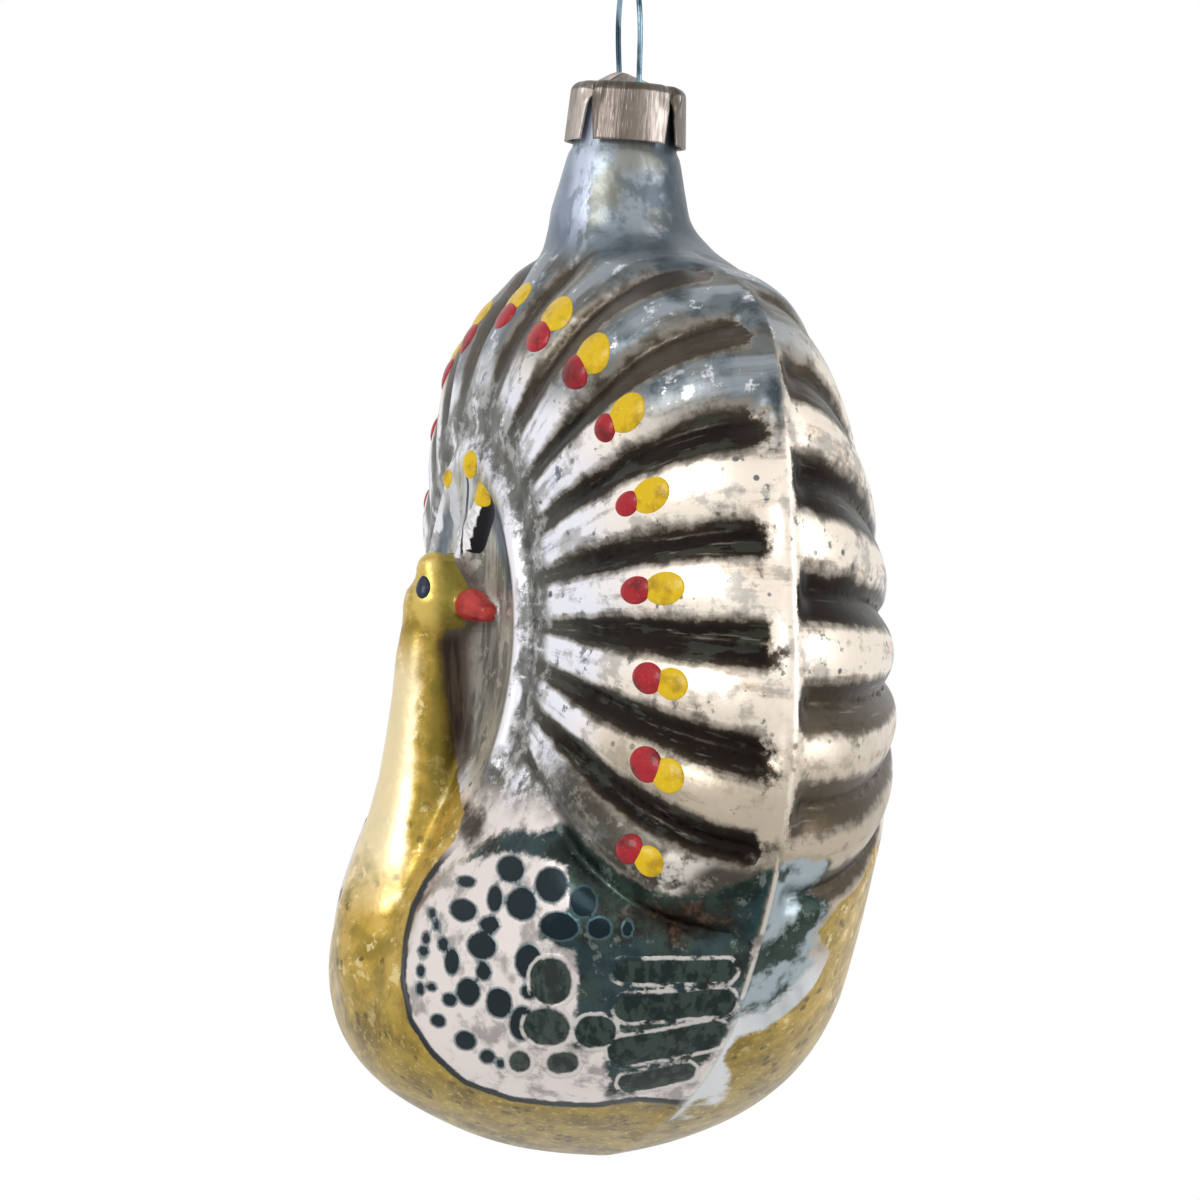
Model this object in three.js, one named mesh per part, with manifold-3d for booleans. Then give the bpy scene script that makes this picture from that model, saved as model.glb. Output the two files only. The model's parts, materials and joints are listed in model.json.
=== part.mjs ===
// A mould-blown glass peacock ornament: a hollow glass body with a ribbed fan tail, a stamped metal cap
// and a bent wire hanger. Millimetres, +Z up. The origin is the hang point, inside the top of the wire loop.
// The bird's breast faces -Y and its beak points to +X. Depths are measured down the neck axis.
import * as THREE from "three";
import { mergeVertices } from "three/addons/utils/BufferGeometryUtils.js";
import Module from "manifold-3d";

// Hanger: a lens-shaped loop above the cap and two spring legs inside the neck
const WIRE_DIAMETER = 0.55;
const LOOP_HEIGHT = 11.5; // hang point to the crown of the cap
const LOOP_HALF_WIDTH = 2.9;
const LOOP_WIDEST_DEPTH = 6.6;
const HOLE_SPACING = 5.2;
const LEG_LENGTH = 8.5; // below the crown of the cap
const LEG_SPREAD = 0.35; // how much further out each foot stands than its hole

// Cap: a thin cup with four skirt flaps
const CAP_HEIGHT = 6.1;
const CAP_TOP_RADIUS = 5.5;
const CAP_SKIRT_RADIUS = 5.8;
const CAP_WALL = 0.35;
const CAP_EDGE_ROUND = 0.7;
const CAP_CROWN_RISE = 0.45; // the crown is this much higher than the flat rim round it
const CAP_CROWN_RADIUS = 3.7;
const HOLE_CLEARANCE = 0.3; // round the wire
const SLOT_HEIGHT = 4.4;
const SLOT_TOP_WIDTH = 0.5;
const SLOT_BOTTOM_WIDTH = 1.8;
const SLOT_COUNT = 4;
const SLOT_START = THREE.MathUtils.degToRad(27);
const CUT_OVERSHOOT = 1; // how far a cutting solid runs past what it cuts

// Glass: neck, shoulder and body
const FIT_GAP = 0.3; // between the neck and the cap
const GLASS_WALL = 0.8;
const NECK_STEP_RADIUS = 5.65; // just below the cap
const NECK_STEP_LENGTH = 1.4; // the neck widens over this length below the cap's edge
const NECK_ROOT_RADIUS = 7.2;
const NECK_FLARE_DROP = 0.9; // the neck flares a little below its middle
const NECK_LENGTH = 12.7; // from the mouth to the root of the shoulder
const BODY_HEIGHT = 93.3; // from the root of the shoulder to the lowest point
const BODY_HALF_WIDTH = 41.8;
const BODY_FRONT = 26.9; // breast to mould seam
const BODY_BACK = 23.0; // back to mould seam
const SEAM_OFFSET = 4.0; // the seam lies behind the neck axis
const SEAM_SHIFT = [-1.3, 7.7]; // depths below the shoulder over which it gets there
const SEAM_HEIGHT = 0.45;
const SEAM_WIDTH = 0.8;
const SEAM_START = [1.7, 5.7]; // depths below the shoulder over which the seam rises
const HANG_TILT = THREE.MathUtils.degToRad(4.3); // the glass is heavier behind, so its breast hangs forward

// Fan: ribs between grooves that run out from an oval rim round the bird
const FRONT_GROOVE = 2.0;
const BACK_GROOVE = 1.8;
const GROOVE_SHARPNESS = 2.2;
const FAN_DEPTH = 40.3; // centre of the fan, below the root of the shoulder
const RIB_ANGLES = [0, 19.5, 36.2, 51.2, 66.8, 83, 98, 110.6, 121.6, 132.6]; // crests, degrees from the top
const BACK_RIB_SHIFT = 0.5; // the back's ribs stand between the front's
const RIM_DEPTH = 43.7;
const RIM_HALF_WIDTH = 12.8;
const RIM_UP = 19;
const RIM_DOWN = 26;
const RIM_HEIGHT = 0.7;
const RIM_WIDTH = 1.1;
const RIM_DITCH = { offset: 2.1, width: 0.9, depth: 0.5 }; // the shallow groove round the rim
const RIM_FADE = [52.5, 58]; // depths over which the rim and the panel run out above the wings
const PANEL_RECESS = 0.4;
const RIB_START = [1.2, 5.7]; // depths over which the grooves begin under the shoulder
const RIB_END = [0.6, 2.6]; // distances from the seam over which the grooves close
const FRONT_RIB_ROOT = [1.1, 2.2]; // in rim sizes from the fan's centre
const BACK_RIB_ROOT = [5, 18]; // millimetres from the fan's centre
const RELIEF_HALF_WIDTH = 6; // on a narrower section the relief shrinks with the section

// Bird: neck, head, beak, crest and wing, in front of the fan
const HEAD_TOP = new THREE.Vector3(0.9, -16.6, 35.4); // x, y, and depth below the root of the shoulder
const HEAD_BASE = new THREE.Vector3(0.9, -16.3, 38.4);
const HEAD_TOP_RADIUS = 0.8;
const HEAD_BASE_RADIUS = 3.3;
const BEAK_BASE = new THREE.Vector3(4.4, -14.8, 39.2);
const BEAK_TIP = new THREE.Vector3(6.6, -14.3, 40.2);
const BEAK_BASE_RADIUS = 1.7;
const BEAK_TIP_RADIUS = 0.9;
const CREST_ROOT = new THREE.Vector2(1.2, 33.4);
const CREST_TIPS = [
  new THREE.Vector2(-4.6, 26.9),
  new THREE.Vector2(1.0, 25.2),
  new THREE.Vector2(4.4, 28.0),
];
const CREST_ROOT_HEIGHT = 2.2;
const CREST_TIP_HEIGHT = 0.5;
const CREST_WIDTH = 0.9;
const BIRD_BLEND = 0.9;
const WING_RISE = 0.5;
const WING_EDGE = 1.6; // width of the step round the wing

// The body's sections: depth below the root of the shoulder, half width at the seam, and how far the front
// and the back stand off the seam, for the body sizes above
const BODY_SECTIONS = [
  [1.7, 8.6, 8.1, 7.9],
  [3.3, 12.4, 9.4, 8.2],
  [5.7, 20.6, 12.2, 9.4],
  [9.5, 27.4, 15.1, 11.8],
  [14.7, 32.0, 17.3, 14.6],
  [21.7, 35.2, 18.2, 17.9],
  [29.7, 37.7, 18.0, 20.6],
  [37.7, 39.8, 17.6, 22.1],
  [45.7, 41.4, 17.6, 23.0],
  [53.7, 41.8, 18.6, 23.0],
  [61.7, 40.2, 21.8, 22.0],
  [69.7, 36.8, 25.3, 21.4],
  [76.7, 32.4, 26.9, 20.6],
  [82.7, 26.2, 25.8, 18.3],
  [87.3, 18.6, 21.9, 14.4],
  [90.7, 10.8, 15.4, 8.8],
  [92.7, 4.6, 8.4, 2.8],
  [93.3, 0, 0, 0],
];

// The bird's neck and breast: depth below the root of the shoulder, y of the centre line, radius
const BIRD_SPINE = [
  [34.7, -16.4, 0.6],
  [36.7, -16.9, 1.7],
  [40.7, -17.2, 2.4],
  [44.7, -16.9, 2.9],
  [50.7, -16.4, 3.6],
  [56.7, -16.0, 4.5],
  [62.7, -16.0, 5.9],
  [69.7, -16.2, 8.2],
  [75.7, -15.2, 9.2],
  [81.7, -13.1, 9.2],
];

// The wing's outline on the side of the body: x, and depth below the root of the shoulder
const WING_OUTLINE = [
  [12.0, 64.5],
  [9.6, 69.0],
  [9.8, 74.0],
  [11.6, 79.0],
  [14.2, 84.4],
  [17.5, 86.6],
  [22.0, 86.2],
  [28.5, 81.0],
  [33.0, 75.5],
  [36.0, 70.0],
  [37.5, 66.0],
  [33.7, 64.3],
  [30.0, 62.6],
  [26.0, 60.6],
  [20.7, 60.0],
  [15.5, 61.3],
];

// The far wing starts further round the body: a distance from the middle there, and the same place on this side
const FAR_WING = [
  [0, 0],
  [19, 9.5],
  [33, 30],
  [45, 45],
];

// Facets
const BIRD_COLUMNS = 18;
const SIDE_COLUMNS = 52;
const BIRD_ANGLE = THREE.MathUtils.degToRad(26); // either side of the front
const ROWS_PER_SECTION = [1, 1, 1, 1, 1, 1, 2, 2, 2, 3, 3, 3, 3, 3, 3, 3, 2, 2, 2, 1, 1, 1];
const CAP_SIDES = 32;
const WIRE_SIDES = 8;
const WIRE_STEPS = 64;

// Plain helpers
function smoothstep(from, to, value) {
  return THREE.MathUtils.smoothstep(value, from, to);
}

function bump(distance, width) {
  return Math.exp(-((distance / width) ** 2));
}

function smoothMax(a, b, blend) {
  if (Math.abs(a - b) >= blend) return Math.max(a, b);
  const share = THREE.MathUtils.clamp(0.5 + (0.5 * (a - b)) / blend, 0, 1);
  return THREE.MathUtils.lerp(b, a, share) + blend * share * (1 - share);
}

function interpolate(rows, at, column) {
  const last = rows.length - 1;
  if (at <= rows[0][0]) return rows[0][column];
  if (at >= rows[last][0]) return rows[last][column];
  const i = rows.findIndex((row) => row[0] > at);
  const share = (at - rows[i - 1][0]) / (rows[i][0] - rows[i - 1][0]);
  return THREE.MathUtils.lerp(rows[i - 1][column], rows[i][column], share);
}

function catmullRom(p0, p1, p2, p3, t) {
  const a = 2 * p1;
  const b = (p2 - p0) * t;
  const c = (2 * p0 - 5 * p1 + 4 * p2 - p3) * t * t;
  const d = (3 * p1 - p0 - 3 * p2 + p3) * t * t * t;
  return 0.5 * (a + b + c + d);
}

// Where the pieces sit
const capTop = LOOP_HEIGHT;
const capRim = capTop + CAP_CROWN_RISE;
const capBottom = capTop + CAP_HEIGHT;
const mouthDepth = capRim + CAP_WALL + FIT_GAP;
const shoulderDepth = mouthDepth + NECK_LENGTH;
const capInnerTop = CAP_TOP_RADIUS - CAP_WALL;
const capInnerSkirt = CAP_SKIRT_RADIUS - CAP_WALL;
const referenceBody = BODY_SECTIONS.reduce(
  (most, row) => row.map((value, i) => Math.max(value, most[i])),
  [0, 0, 0, 0],
);
const bodyScale = [BODY_HEIGHT, BODY_HALF_WIDTH, BODY_FRONT, BODY_BACK].map(
  (size, i) => size / referenceBody[i],
);

// Every section down the glass: depth, half width, front, back
const neckSections = [
  [mouthDepth, capInnerTop - FIT_GAP],
  [capBottom, capInnerSkirt - FIT_GAP],
  [capBottom + NECK_STEP_LENGTH, NECK_STEP_RADIUS],
  [(capBottom + shoulderDepth) / 2 + NECK_FLARE_DROP, (NECK_STEP_RADIUS + NECK_ROOT_RADIUS) / 2],
  [shoulderDepth, NECK_ROOT_RADIUS],
].map(([depth, radius]) => [depth, radius, radius, radius]);
const bodySections = BODY_SECTIONS.map(([depth, width, front, back]) => [
  shoulderDepth + depth * bodyScale[0],
  width * bodyScale[1],
  front * bodyScale[2],
  back * bodyScale[3],
]);
const sections = [...neckSections, ...bodySections];

// The section at a place between two rows, with a round closed bottom
function sectionAt(place) {
  const last = sections.length - 1;
  const i = Math.min(Math.floor(place), last - 1);
  const first = sections[0];
  const before = i > 0 ? sections[i - 1] : first.map((v, k) => 2 * v - sections[1][k]);
  const mirrored = [sections[last - 1][0], ...sections[last - 1].slice(1).map((v) => -v)];
  const after = i + 2 <= last ? sections[i + 2] : mirrored;
  return first.map((_, k) =>
    catmullRom(before[k], sections[i][k], sections[i + 1][k], after[k], place - i),
  );
}

function seamY(depth) {
  return SEAM_OFFSET * smoothstep(...SEAM_SHIFT, depth - shoulderDepth);
}

// Distance from the middle of a section along a ray to the far side of a circle in front of it
function reach(angle, depth, centreY, radius) {
  const ahead = seamY(depth) - centreY;
  const root = radius ** 2 - (ahead * Math.sin(angle)) ** 2;
  return root > 0 && Math.cos(angle) > 0 ? ahead * Math.cos(angle) + Math.sqrt(root) : -Infinity;
}

// Signed distance to a closed outline, positive inside
function insideOutline(outline, x, z) {
  let nearest = Infinity;
  let inside = false;
  outline.forEach(([bx, bz], i) => {
    const [ax, az] = outline[(i + outline.length - 1) % outline.length];
    const length2 = (bx - ax) ** 2 + (bz - az) ** 2;
    const along = ((x - ax) * (bx - ax) + (z - az) * (bz - az)) / length2;
    const t = THREE.MathUtils.clamp(along, 0, 1);
    nearest = Math.min(nearest, Math.hypot(x - ax - t * (bx - ax), z - az - t * (bz - az)));
    if (az > z !== bz > z && x < ax + ((z - az) / (bz - az)) * (bx - ax)) inside = !inside;
  });
  return inside ? nearest : -nearest;
}

// A crest feather's height above the panel, highest at its root
function featherHeight(x, depth, tip) {
  const line = new THREE.Line3(new THREE.Vector3(...CREST_ROOT, 0), new THREE.Vector3(...tip, 0));
  const point = new THREE.Vector3(x, depth, 0);
  const along = line.closestPointToPointParameter(point, true);
  const distance = line.at(along, new THREE.Vector3()).distanceTo(point);
  return THREE.MathUtils.lerp(CREST_ROOT_HEIGHT, CREST_TIP_HEIGHT, along) * bump(distance, CREST_WIDTH);
}

// Rib number at an angle from the top of the fan, with fractions between the crests
function ribAt(degrees) {
  const rows = RIB_ANGLES.map((angle, rib) => [angle, rib]);
  return interpolate(rows, degrees, 1);
}

function groove(rib) {
  return Math.abs(2 * (rib - Math.round(rib))) ** GROOVE_SHARPNESS;
}

// Relief of the ribs, the rim and the panel inside it, which the inner wall shares, as a distance off the
// smooth body. x and depth are measured on the reference body, so the pattern follows the body's size.
function fanRelief(angle, x, depth, radius) {
  const degrees = THREE.MathUtils.radToDeg(Math.atan2(Math.abs(x), FAN_DEPTH - depth));
  const rib = ribAt(degrees);
  const offSeam = Math.abs(radius * Math.cos(angle));
  const closed = smoothstep(...RIB_START, depth) * smoothstep(...RIB_END, offSeam);
  if (Math.cos(angle) <= 0) {
    const fromCentre = Math.hypot(x, depth - FAN_DEPTH);
    const lastCrest = RIB_ANGLES.length - 1 - BACK_RIB_SHIFT;
    const share = rib < lastCrest ? smoothstep(...BACK_RIB_ROOT, fromCentre) : 0;
    return -BACK_GROOVE * share * closed * groove(rib + BACK_RIB_SHIFT);
  }
  const rimHeight = depth < RIM_DEPTH ? RIM_UP : RIM_DOWN;
  const rim = Math.hypot(x / RIM_HALF_WIDTH, (depth - RIM_DEPTH) / rimHeight);
  const ribs = FRONT_GROOVE * smoothstep(...FRONT_RIB_ROOT, rim) * closed * groove(rib);
  const offRim = (rim - 1) * RIM_HALF_WIDTH;
  const aboveWing = 1 - smoothstep(...RIM_FADE, depth);
  const ditch = RIM_DITCH.depth * bump(offRim - RIM_DITCH.offset, RIM_DITCH.width);
  const edge = RIM_HEIGHT * bump(offRim, RIM_WIDTH) - ditch;
  const panel = PANEL_RECESS * (1 - smoothstep(0.85, 1, rim));
  return (edge - panel) * aboveWing - ribs;
}

// Relief of the seam, the crest and the wings, on the outside only
function raisedRelief(angle, x, depth, radius) {
  const seam = SEAM_HEIGHT * bump(radius * Math.cos(angle), SEAM_WIDTH) * smoothstep(...SEAM_START, depth);
  if (Math.cos(angle) <= 0) return seam;
  const feathers = CREST_TIPS.map((tip) => featherHeight(x, depth, tip));
  const side = x < 0 ? interpolate(FAR_WING, -x, 1) : x;
  const wing = WING_RISE * smoothstep(0, WING_EDGE, insideOutline(WING_OUTLINE, side, depth));
  return seam + Math.max(...feathers) + wing;
}

// Distance of the bird's neck from the middle of the section, blended into the body's own
function withBird(angle, depth, radius) {
  const localDepth = (depth - shoulderDepth) / bodyScale[0];
  const last = BIRD_SPINE.length - 1;
  if (localDepth < BIRD_SPINE[0][0] || localDepth > BIRD_SPINE[last][0]) return radius;
  const spineY = interpolate(BIRD_SPINE, localDepth, 1);
  const spineRadius = interpolate(BIRD_SPINE, localDepth, 2);
  return smoothMax(radius, reach(angle, depth, spineY, spineRadius), BIRD_BLEND);
}

// A point of the smooth body, without relief
function smoothPoint(angle, place) {
  const [depth, width, front, back] = sectionAt(place);
  const off = Math.cos(angle) > 0 ? front : back;
  const radius = width > 1e-6 ? 1 / Math.hypot(Math.sin(angle) / width, Math.cos(angle) / off) : 0;
  return { depth, width, radius };
}

// A place given by x, y and depth on the reference body
function onBody(place) {
  return new THREE.Vector3(place.x, place.y, -shoulderDepth - place.z * bodyScale[0]);
}

function toSpace(angle, depth, radius) {
  return new THREE.Vector3(radius * Math.sin(angle), seamY(depth) - radius * Math.cos(angle), -depth);
}

// Distance of a skin from the middle of the section: the smooth body with its relief
function skinRadius(angle, place, raised) {
  const { depth, width, radius } = smoothPoint(angle, place);
  const x = (radius * Math.sin(angle)) / bodyScale[1];
  const localDepth = (depth - shoulderDepth) / bodyScale[0];
  const share = THREE.MathUtils.clamp(width / RELIEF_HALF_WIDTH, 0, 1);
  const onTop = raised ? raisedRelief(angle, x, localDepth, radius) : 0;
  return radius + (fanRelief(angle, x, localDepth, radius) + onTop) * share;
}

function outerPoint(angle, place) {
  const { depth, radius } = smoothPoint(angle, place);
  if (radius === 0) return toSpace(angle, depth, 0);
  return toSpace(angle, depth, withBird(angle, depth, skinRadius(angle, place, true)));
}

// The inner wall follows the ribs and the panel, one wall's thickness in
function innerPoint(angle, place) {
  const { depth, radius } = smoothPoint(angle, place);
  if (radius === 0) return toSpace(angle, depth - GLASS_WALL, 0);
  const step = 0.02;
  const near = (a, p) => {
    const smooth = smoothPoint(a, p);
    return toSpace(a, smooth.depth, smooth.radius);
  };
  const round = near(angle + step, place).sub(near(angle - step, place));
  const down = near(angle, place + step).sub(near(angle, Math.max(place - step, 0)));
  const inward = down.cross(round).normalize();
  if (place === 0) inward.setZ(0).normalize();
  return toSpace(angle, depth, skinRadius(angle, place, false)).addScaledVector(inward, -GLASS_WALL);
}

// Angles round the body, close together across the bird
function columnAngles(birdColumns, sideColumns) {
  const angles = [];
  for (let i = 0; i < birdColumns; i++) angles.push(-BIRD_ANGLE + (2 * BIRD_ANGLE * i) / birdColumns);
  const rest = 2 * (Math.PI - BIRD_ANGLE);
  for (let i = 0; i < sideColumns; i++) angles.push(BIRD_ANGLE + (rest * i) / sideColumns);
  return angles;
}

function rowPlaces(perSection) {
  const places = [0];
  perSection.forEach((count, section) => {
    for (let i = 1; i <= count; i++) places.push(section + i / count);
  });
  return places;
}

// One closed shell: the outer skin, the inner skin and the rim of the neck's mouth between them
function shellGeometry() {
  const angles = columnAngles(BIRD_COLUMNS, SIDE_COLUMNS);
  const places = rowPlaces(ROWS_PER_SECTION);
  const rings = places.slice(0, -1);
  const columns = angles.length;
  const positions = [];
  const triangles = [];
  const addSkin = (pointAt, facingOut) => {
    const start = positions.length / 3;
    rings.forEach((place) => angles.forEach((angle) => positions.push(...pointAt(angle, place))));
    const pole = positions.length / 3;
    positions.push(...pointAt(0, places[places.length - 1]));
    const triangle = (a, b, c) => triangles.push(...(facingOut ? [a, b, c] : [a, c, b]));
    for (let i = 0; i < columns; i++) {
      const next = (i + 1) % columns;
      for (let r = 0; r + 1 < rings.length; r++) {
        const upper = start + r * columns;
        const [a, b, c, d] = [upper + i, upper + columns + i, upper + columns + next, upper + next];
        const x = positions[3 * a];
        const belowFan = -positions[3 * a + 2] - shoulderDepth - FAN_DEPTH * bodyScale[0];
        // The diagonal runs along the ribs, out from the middle of the fan
        if (x * belowFan > 0) {
          triangle(a, b, c);
          triangle(a, c, d);
        } else {
          triangle(a, b, d);
          triangle(d, b, c);
        }
      }
      const lowest = start + (rings.length - 1) * columns;
      triangle(lowest + i, pole, lowest + next);
    }
    return start;
  };
  const outer = addSkin(outerPoint, true);
  const inner = addSkin(innerPoint, false);
  for (let i = 0; i < columns; i++) {
    const next = (i + 1) % columns;
    triangles.push(outer + i, outer + next, inner + i);
    triangles.push(inner + i, outer + next, inner + next);
  }
  const geometry = new THREE.BufferGeometry();
  geometry.setAttribute("position", new THREE.Float32BufferAttribute(positions, 3));
  geometry.setIndex(triangles);
  geometry.computeVertexNormals();
  return geometry;
}

// Solids for joining and cutting
const wasm = await Module();
wasm.setup();

function solidOf(geometry) {
  const bare = new THREE.BufferGeometry().setAttribute("position", geometry.getAttribute("position").clone());
  if (geometry.index) bare.setIndex(geometry.index);
  const merged = mergeVertices(bare, 1e-4);
  return new wasm.Manifold(
    new wasm.Mesh({
      numProp: 3,
      vertProperties: merged.attributes.position.array,
      triVerts: new Uint32Array(merged.index.array),
    }),
  );
}

function geometryOf(solid) {
  const mesh = solid.getMesh();
  const geometry = new THREE.BufferGeometry();
  geometry.setAttribute("position", new THREE.BufferAttribute(new Float32Array(mesh.vertProperties), 3));
  geometry.setIndex(new THREE.BufferAttribute(new Uint32Array(mesh.triVerts), 1));
  geometry.computeVertexNormals();
  return geometry;
}

// A round-ended cone between two places on the body
function roundedCone(from, to, fromRadius, toRadius, sides) {
  const [start, end] = [onBody(from), onBody(to)];
  const length = start.distanceTo(end);
  const steps = 4;
  const profile = [];
  for (let i = 0; i <= steps; i++) {
    const angle = (Math.PI / 2) * (i / steps - 1);
    profile.push(new THREE.Vector2(fromRadius * Math.cos(angle), fromRadius * Math.sin(angle)));
  }
  for (let i = 0; i <= steps; i++) {
    const angle = (Math.PI / 2) * (i / steps);
    profile.push(new THREE.Vector2(toRadius * Math.cos(angle), length + toRadius * Math.sin(angle)));
  }
  profile[0].x = 0;
  profile[profile.length - 1].x = 0;
  const cone = new THREE.LatheGeometry(profile, sides);
  const axis = end.clone().sub(start).normalize();
  cone.applyQuaternion(new THREE.Quaternion().setFromUnitVectors(new THREE.Vector3(0, 1, 0), axis));
  cone.translate(...start);
  return solidOf(cone);
}

// The bird's head and beak, joined to the shell
function headSolid() {
  const head = roundedCone(HEAD_TOP, HEAD_BASE, HEAD_TOP_RADIUS, HEAD_BASE_RADIUS, 18);
  const beak = roundedCone(BEAK_BASE, BEAK_TIP, BEAK_BASE_RADIUS, BEAK_TIP_RADIUS, 12);
  return head.add(beak);
}

// Cap: a turned cup, cut by the skirt slots and the two wire holes
function capProfile() {
  const points = [];
  const crown = (radius) => CAP_CROWN_RISE * (1 - smoothstep(0, CAP_CROWN_RADIUS, radius) ** 2);
  const crownSteps = 4;
  const edgeSteps = 3;
  const skin = (inset) => {
    const line = [];
    const flat = -capRim - inset;
    const edge = CAP_EDGE_ROUND - inset;
    const side = CAP_TOP_RADIUS - inset;
    for (let i = 0; i <= crownSteps; i++) {
      const radius = (CAP_CROWN_RADIUS * i) / crownSteps;
      line.push(new THREE.Vector2(radius, flat + crown(radius)));
    }
    for (let i = 0; i <= edgeSteps; i++) {
      const turn = (Math.PI / 2) * (i / edgeSteps);
      line.push(new THREE.Vector2(side - edge * (1 - Math.sin(turn)), flat - edge * (1 - Math.cos(turn))));
    }
    line.push(new THREE.Vector2(CAP_SKIRT_RADIUS - inset, -capBottom));
    return line;
  };
  points.push(...skin(0).reverse());
  points.push(...skin(CAP_WALL));
  return [...points, points[0].clone()];
}

function capSolid() {
  const turned = new THREE.LatheGeometry(capProfile(), CAP_SIDES);
  turned.rotateX(Math.PI / 2);
  let cap = solidOf(turned);
  const slotShape = new THREE.Shape([
    new THREE.Vector2(-SLOT_BOTTOM_WIDTH / 2, -CUT_OVERSHOOT),
    new THREE.Vector2(SLOT_BOTTOM_WIDTH / 2, -CUT_OVERSHOOT),
    new THREE.Vector2(SLOT_TOP_WIDTH / 2, SLOT_HEIGHT),
    new THREE.Vector2(-SLOT_TOP_WIDTH / 2, SLOT_HEIGHT),
  ]);
  const slotDepth = CAP_SKIRT_RADIUS + CUT_OVERSHOOT;
  for (let i = 0; i < SLOT_COUNT; i++) {
    const slot = new THREE.ExtrudeGeometry(slotShape, { depth: slotDepth, bevelEnabled: false });
    slot.rotateX(Math.PI / 2);
    slot.rotateZ(Math.PI + SLOT_START + (2 * Math.PI * i) / SLOT_COUNT + Math.PI / 2);
    slot.translate(0, 0, -capBottom);
    cap = cap.subtract(solidOf(slot));
  }
  for (const side of [-1, 1]) {
    const radius = WIRE_DIAMETER / 2 + HOLE_CLEARANCE;
    const hole = new THREE.CylinderGeometry(radius, radius, 2 * (CAP_WALL + CUT_OVERSHOOT), 16);
    hole.rotateX(Math.PI / 2);
    hole.translate((side * HOLE_SPACING) / 2, 0, -capRim);
    cap = cap.subtract(solidOf(hole));
  }
  return cap;
}

// Hanger: one wire, up from one foot, round the loop and down to the other foot
function hangerCurve() {
  const rise = LOOP_WIDEST_DEPTH + WIRE_DIAMETER / 2;
  const hole = HOLE_SPACING / 2;
  const half = [
    new THREE.Vector3(hole + LEG_SPREAD, 0, -capTop - LEG_LENGTH),
    new THREE.Vector3(hole + LEG_SPREAD / 3, 0, -capTop - LEG_LENGTH / 2),
    new THREE.Vector3(hole, 0, -capTop),
  ];
  for (const turn of [0, 25, 50, 70]) {
    const angle = THREE.MathUtils.degToRad(turn);
    const x = LOOP_HALF_WIDTH * Math.cos(angle);
    half.push(new THREE.Vector3(x, 0, -LOOP_WIDEST_DEPTH + rise * Math.sin(angle)));
  }
  const top = new THREE.Vector3(0, 0, WIRE_DIAMETER / 2);
  const other = half.map((p) => new THREE.Vector3(-p.x, 0, p.z)).reverse();
  return new THREE.CatmullRomCurve3([...half, top, ...other]);
}

function hangerGeometry() {
  const section = new THREE.Shape();
  for (let i = 0; i < WIRE_SIDES; i++) {
    const angle = (2 * Math.PI * i) / WIRE_SIDES;
    const [x, y] = [(WIRE_DIAMETER / 2) * Math.cos(angle), (WIRE_DIAMETER / 2) * Math.sin(angle)];
    if (i === 0) section.moveTo(x, y);
    else section.lineTo(x, y);
  }
  section.closePath();
  return new THREE.ExtrudeGeometry(section, { steps: WIRE_STEPS, extrudePath: hangerCurve() });
}

// The assembly
const glassMaterial = new THREE.MeshStandardMaterial({ color: 0xb9bcc0, roughness: 0.22, metalness: 0.9 });
const capMaterial = new THREE.MeshStandardMaterial({ color: 0xa39a8c, roughness: 0.38, metalness: 1 });
const wireMaterial = new THREE.MeshStandardMaterial({ color: 0x9fb0ba, roughness: 0.25, metalness: 1 });

const glassBody = new THREE.Mesh(geometryOf(solidOf(shellGeometry()).add(headSolid())), glassMaterial);
glassBody.name = "glass_body";
const cap = new THREE.Mesh(geometryOf(capSolid()), capMaterial);
cap.name = "cap";
const hangerWire = new THREE.Mesh(hangerGeometry(), wireMaterial);
hangerWire.name = "hanger_wire";

// The cap and the glass hang from the wire holes, tilted about them
const tilted = new THREE.Group();
tilted.add(glassBody, cap);
tilted.position.set(0, 0, -capTop);
tilted.rotation.x = -HANG_TILT;
glassBody.position.z = capTop;
cap.position.z = capTop;

const ornament = new THREE.Group();
ornament.add(tilted, hangerWire);
export default ornament;
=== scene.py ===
# A mould-blown glass peacock ornament with a metal cap and a wire hanger, dressed around its CAD frame.
# The glass is worked out in its own frame in millimetres: x towards the beak, y towards the back, and depth
# down the neck axis below the hang point. It is turned into the model's frame, in metres, at the end.
import json
import math

import bpy
import numpy as np
from mathutils import Matrix, Vector


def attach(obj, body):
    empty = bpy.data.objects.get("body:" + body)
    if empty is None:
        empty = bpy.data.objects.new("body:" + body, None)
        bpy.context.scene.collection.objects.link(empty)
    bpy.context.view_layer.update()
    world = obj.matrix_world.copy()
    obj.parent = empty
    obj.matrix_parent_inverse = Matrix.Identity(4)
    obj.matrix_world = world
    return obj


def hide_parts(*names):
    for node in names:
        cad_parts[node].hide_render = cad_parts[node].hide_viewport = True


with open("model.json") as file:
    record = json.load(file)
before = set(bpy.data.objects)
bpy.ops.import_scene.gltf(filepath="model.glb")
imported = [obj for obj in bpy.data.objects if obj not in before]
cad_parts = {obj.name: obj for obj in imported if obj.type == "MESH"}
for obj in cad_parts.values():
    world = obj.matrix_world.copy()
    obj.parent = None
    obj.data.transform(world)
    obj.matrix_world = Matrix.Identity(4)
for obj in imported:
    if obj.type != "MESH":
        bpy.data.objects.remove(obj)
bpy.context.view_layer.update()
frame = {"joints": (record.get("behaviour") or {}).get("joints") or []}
joints = {joint["name"]: joint for joint in frame["joints"]}

MM = 0.001

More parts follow.
